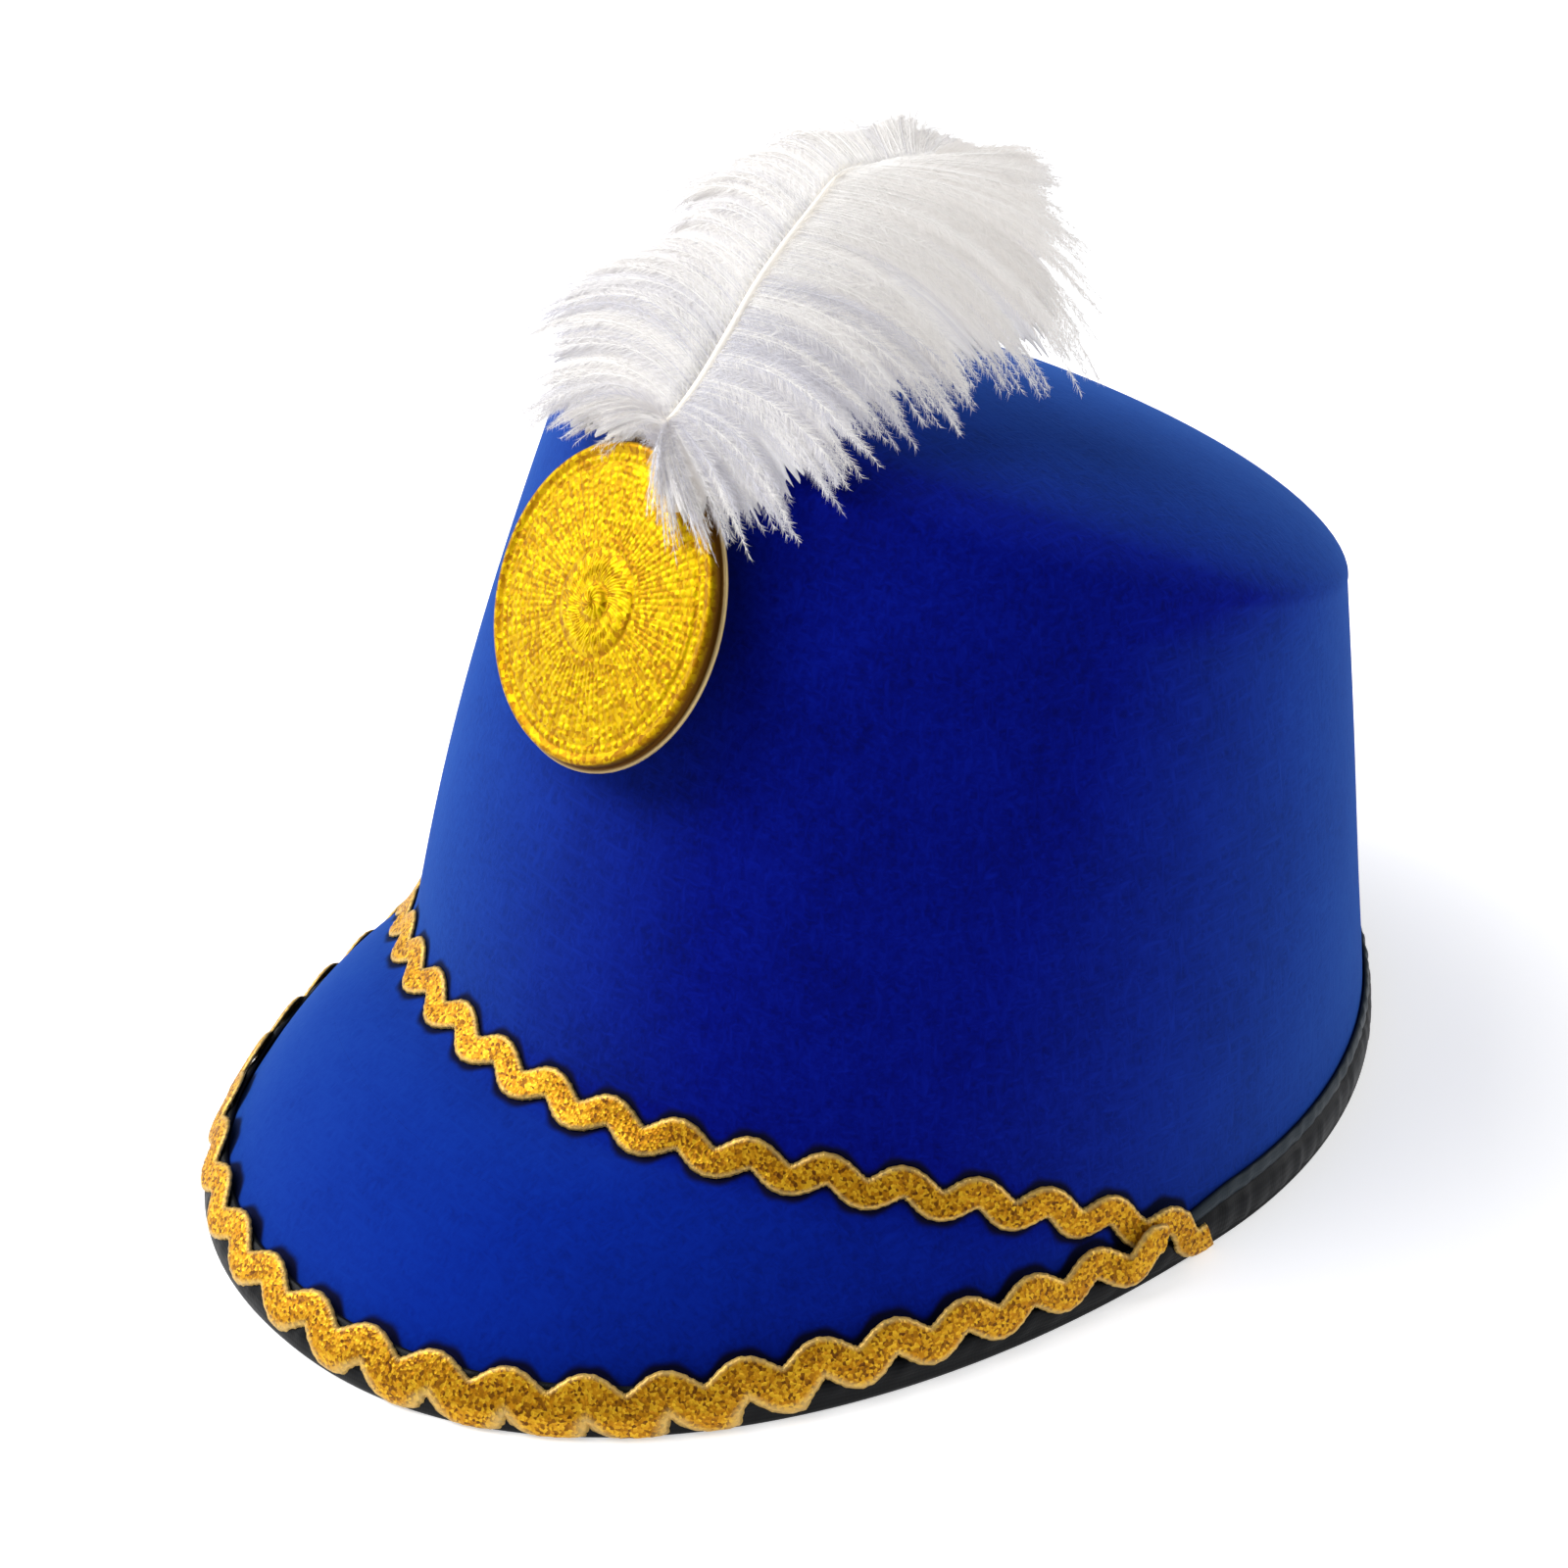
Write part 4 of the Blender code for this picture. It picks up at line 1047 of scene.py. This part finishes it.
def make_web(name, column, web_share, straighten, sweep, fuller, finish):
    """Thin web under the barbs: the same parabolas drawn row by row, folded back at a ragged edge."""
    table, root = plume_table()
    rows = np.linspace(LOWEST_BARB, len(table) - 1, WEB_ROWS)
    shaft, middle, tip = vane(table, rows[:, None], column, sweep)
    tooth = 0.06 * np.abs(np.sin(rows * 9.3)) + 0.05 * np.abs(np.sin(rows * 23.7)) + 0.04 * np.sin(rows * 61)
    full = web_share - 0.05 + tooth + fuller * fullness(rows)
    reach = (np.linspace(0, 1, WEB_POINTS) * full[:, None])[..., None]
    front = root + parabola(shaft, middle, tip, reach, straighten)
    face = facing_out(np.cross(np.gradient(front, axis=1), np.gradient(shaft, axis=0)))
    ripple = 0.0004 * np.sin(rows * 31)[:, None, None] * reach
    front = front - face * (0.0002 + 0.0004 * smooth(reach * 5) + ripple)
    back = (front - face * WEB_THICK)[:, ::-1]
    grid = np.concatenate([front, back], axis=1)
    along = np.concatenate([reach[..., 0], reach[:, ::-1, 0], reach[:, :1, 0]], axis=1) * 0.04
    chart = chart_of(np.linspace(0, 0.08, WEB_ROWS)[:, None], along)
    return skin(name, grid if column == 1 else grid[:, ::-1], finish, tube=True, uv=chart)


def barbules(name, paths, faces, finish, tones_with_painted_light):
    """Hair-fine blades, one thin triangle each, along both sides of every barb. They slant to its tip and
    lie roughly in the plane of the vane."""
    counts = (steps_of(paths).sum(axis=1) / BARBULE_STEP).astype(int)
    owner = np.repeat(np.arange(len(paths)), np.maximum(counts, 2))
    share = chance.uniform(0.0, 1.0, len(owner))
    at = share * (BARB_POINTS - 1)
    low = np.minimum(at.astype(int), BARB_POINTS - 2)
    mix = (at - low)[:, None]
    here = paths[owner, low] * (1 - mix) + paths[owner, low + 1] * mix
    ahead = unit(paths[owner, low + 1] - paths[owner, low])
    face = unit(faces[owner, low] + chance.normal(0, LOOSE, (len(owner), 3)))
    across = unit(np.cross(face, ahead)) * chance.choice((-1, 1), len(owner))[:, None]
    slant = chance.uniform(*BARBULE_SLANT, len(owner))[:, None]
    way = unit(ahead * np.cos(slant) + across * np.sin(slant))
    reach = BARBULE_LENGTH * chance.uniform(*BARBULE_VARIES, len(owner))[:, None]
    reach = reach * (1 - BARBULE_TAPER * share[:, None] ** 3)
    tip = here + way * reach + np.array([0, 0, -BARBULE_DROOP]) * reach
    wide = unit(np.cross(way, face)) * BARBULE_WIDTH / 2
    blades = np.stack([here + wide, here - wide, tip], axis=1)
    mesh = bpy.data.meshes.new(name)
    mesh.from_pydata(blades.reshape(-1, 3).tolist(), [], np.arange(len(owner) * 3).reshape(-1, 3).tolist())
    piece = placed(name, mesh, finish)
    give_values(piece, "tone_with_painted_light", np.repeat(tones_with_painted_light[owner], 3))
    return piece


def make_plume():
    """The shaft, then each side's web, barbs and barbules, these in two halves, and last the shaft's own
    down along its upper part."""
    table, root = plume_table()
    cream = make_feather_finish("cream_shaft", (233, 228, 219), (229, 222, 210), 0.1)
    white = make_feather_finish("white_barbs", (227, 225, 223), (197, 196, 206), 0.0)
    down = make_web_finish()
    at = np.linspace(0, len(table) - 1, 90)
    sunk = np.interp(at, *STEM_SUNK)[:, None] * (0, 0, 1)
    spine = (root - sunk + table_curve(table, at)[:, :3])[None]
    thick = np.interp(at, *np.array(STEM_RADIUS).T)[None]
    pieces = [tubes("plume_shaft", spine, thick, cream, np.ones(1), sides=12)]
    for label, column, web_share, low_rows_shade_painted, high_rows_light_painted, *lie in SIDES_OF_PLUME:
        rows = np.sort(chance.uniform(LOWEST_BARB, len(table) - 1, BARBS))
        paths, faces = barb_paths(column, rows, *lie)
        radii = BARB_RADIUS * np.linspace(1, 0.35, BARB_POINTS)[None] * np.ones((BARBS, 1))
        pieces.append(make_web("web_" + label, column, web_share, *lie[4:], down))
        # Each barb's tone: random, plus painted shade on the lower rows and painted light on the upper rows.
        tones_with_painted_light = chance.uniform(0, 1, BARBS) + np.interp(rows, (7, 10), (low_rows_shade_painted, high_rows_light_painted))
        pieces.append(tubes("barbs_" + label, paths, radii, white, tones_with_painted_light))
        for place, part in (("low", slice(0, BARBS // 2)), ("high", slice(BARBS // 2, BARBS))):
            pieces.append(barbules(place + "_fluff_" + label, paths[part], faces[part], white, tones_with_painted_light[part]))
    starts = np.linspace(*SHAFT_TUFT_ROWS, SHAFT_TUFTS)[:, None] + np.linspace(0, 1, BARB_POINTS)
    paths = root + table_curve(table, starts.ravel())[:, :3].reshape(SHAFT_TUFTS, BARB_POINTS, 3)
    faces = np.broadcast_to(unit(OUT_OF_CROWN), paths.shape)
    pieces.append(barbules("shaft_fluff", paths, faces, cream, np.ones(SHAFT_TUFTS)))
    return pieces


for part in make_plume():
    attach(part, "root")
    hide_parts("plume")


# Stand, light and camera: the hat stands by itself on a plain pale floor under broad soft lights, seen
# from above its left front.

CAMERA_TURN = math.radians(48.064)
CAMERA_RAISED = math.radians(33.66)
CAMERA_ROLL = math.radians(-0.517)
CAMERA_DISTANCE = 0.650
CAMERA_TARGET = (0.0, CROWN_Y - 0.020, 0.060)
PICTURE = 1600                # pixels across the picture, in which the next two are given
FOCAL = 3671.5
CENTRE = (810.57, 801.09)
SENSOR = 36.0                 # width in millimetres
LIT_PLACE = (0, 0.01, 0.08)   # the lights look here
LIGHTS = (
    # name, place, size, power
    ("above", (-0.80, -0.60, 1.25), 1.4, 24.0),
    ("key", (-1.25, -0.85, 0.80), 0.9, 14.0),
    ("rim", (0.90, 1.10, 0.55), 1.0, 10.0),
)
ROOM_LIGHT = (("Color", (0.95, 0.97, 1.0, 1)), ("Strength", 0.22))


def make_floor():
    """Pale floor, a wide flat grid."""
    axis = np.linspace(-3, 3, 7)
    x, y = np.meshgrid(axis, axis, indexing="ij")
    material, _, shader = finish_of("pale_floor", 0.8, Specular_IOR_Level=0.2, Emission_Strength=0.50,
                                       Emission_Color=linear((255, 255, 255)))
    shader.inputs["Base Color"].default_value = linear((246, 246, 247))
    return skin("floor", np.stack([x, y, 0 * x - 0.0001], axis=-1), material)


def set_up(name, data, right, up, back, place):
    """A lamp or camera with its axes turned this way, in its place."""
    thing = bpy.data.objects.new(name, data)
    thing.matrix_world = Matrix(np.vstack([np.array([right, up, back, place]).T, [0, 0, 0, 1]]).tolist())
    bpy.context.scene.collection.objects.link(thing)
    return thing


def make_light(name, place, size, power):
    """White square area light that looks at the hat."""
    light = bpy.data.lights.new(name, "AREA")
    light.size, light.energy = size, power
    back = unit(np.array(place) - np.array(LIT_PLACE))
    right = unit(np.cross((0, 0, 1), back))
    set_up(name, light, right, np.cross(back, right), back, place)


def make_camera():
    """Camera whose axes come from its turn, its height angle and a slight roll."""
    sin, cos = math.sin(CAMERA_TURN), math.cos(CAMERA_TURN)
    level = math.cos(CAMERA_RAISED)
    back = np.array([sin * level, -cos * level, math.sin(CAMERA_RAISED)])
    right = np.array([cos, sin, 0])
    right, up = turned(right, np.cross(back, right), -CAMERA_ROLL)
    data = bpy.data.cameras.new("camera")
    data.sensor_width = SENSOR
    data.lens = FOCAL / PICTURE * SENSOR
    data.shift_x = 0.5 - CENTRE[0] / PICTURE
    data.shift_y = CENTRE[1] / PICTURE - 0.5
    data.clip_start = 0.01
    place = np.array(CAMERA_TARGET) + back * CAMERA_DISTANCE
    bpy.context.scene.camera = set_up("camera", data, right, up, back, place)


make_floor()
for lamp in LIGHTS:
    make_light(*lamp)
world = bpy.data.worlds.new("pale_room")
bpy.context.scene.world = world
world.use_nodes = True
for key, value in ROOM_LIGHT:
    world.node_tree.nodes["Background"].inputs[key].default_value = value
bpy.context.scene.view_settings.view_transform = "Standard"
make_camera()
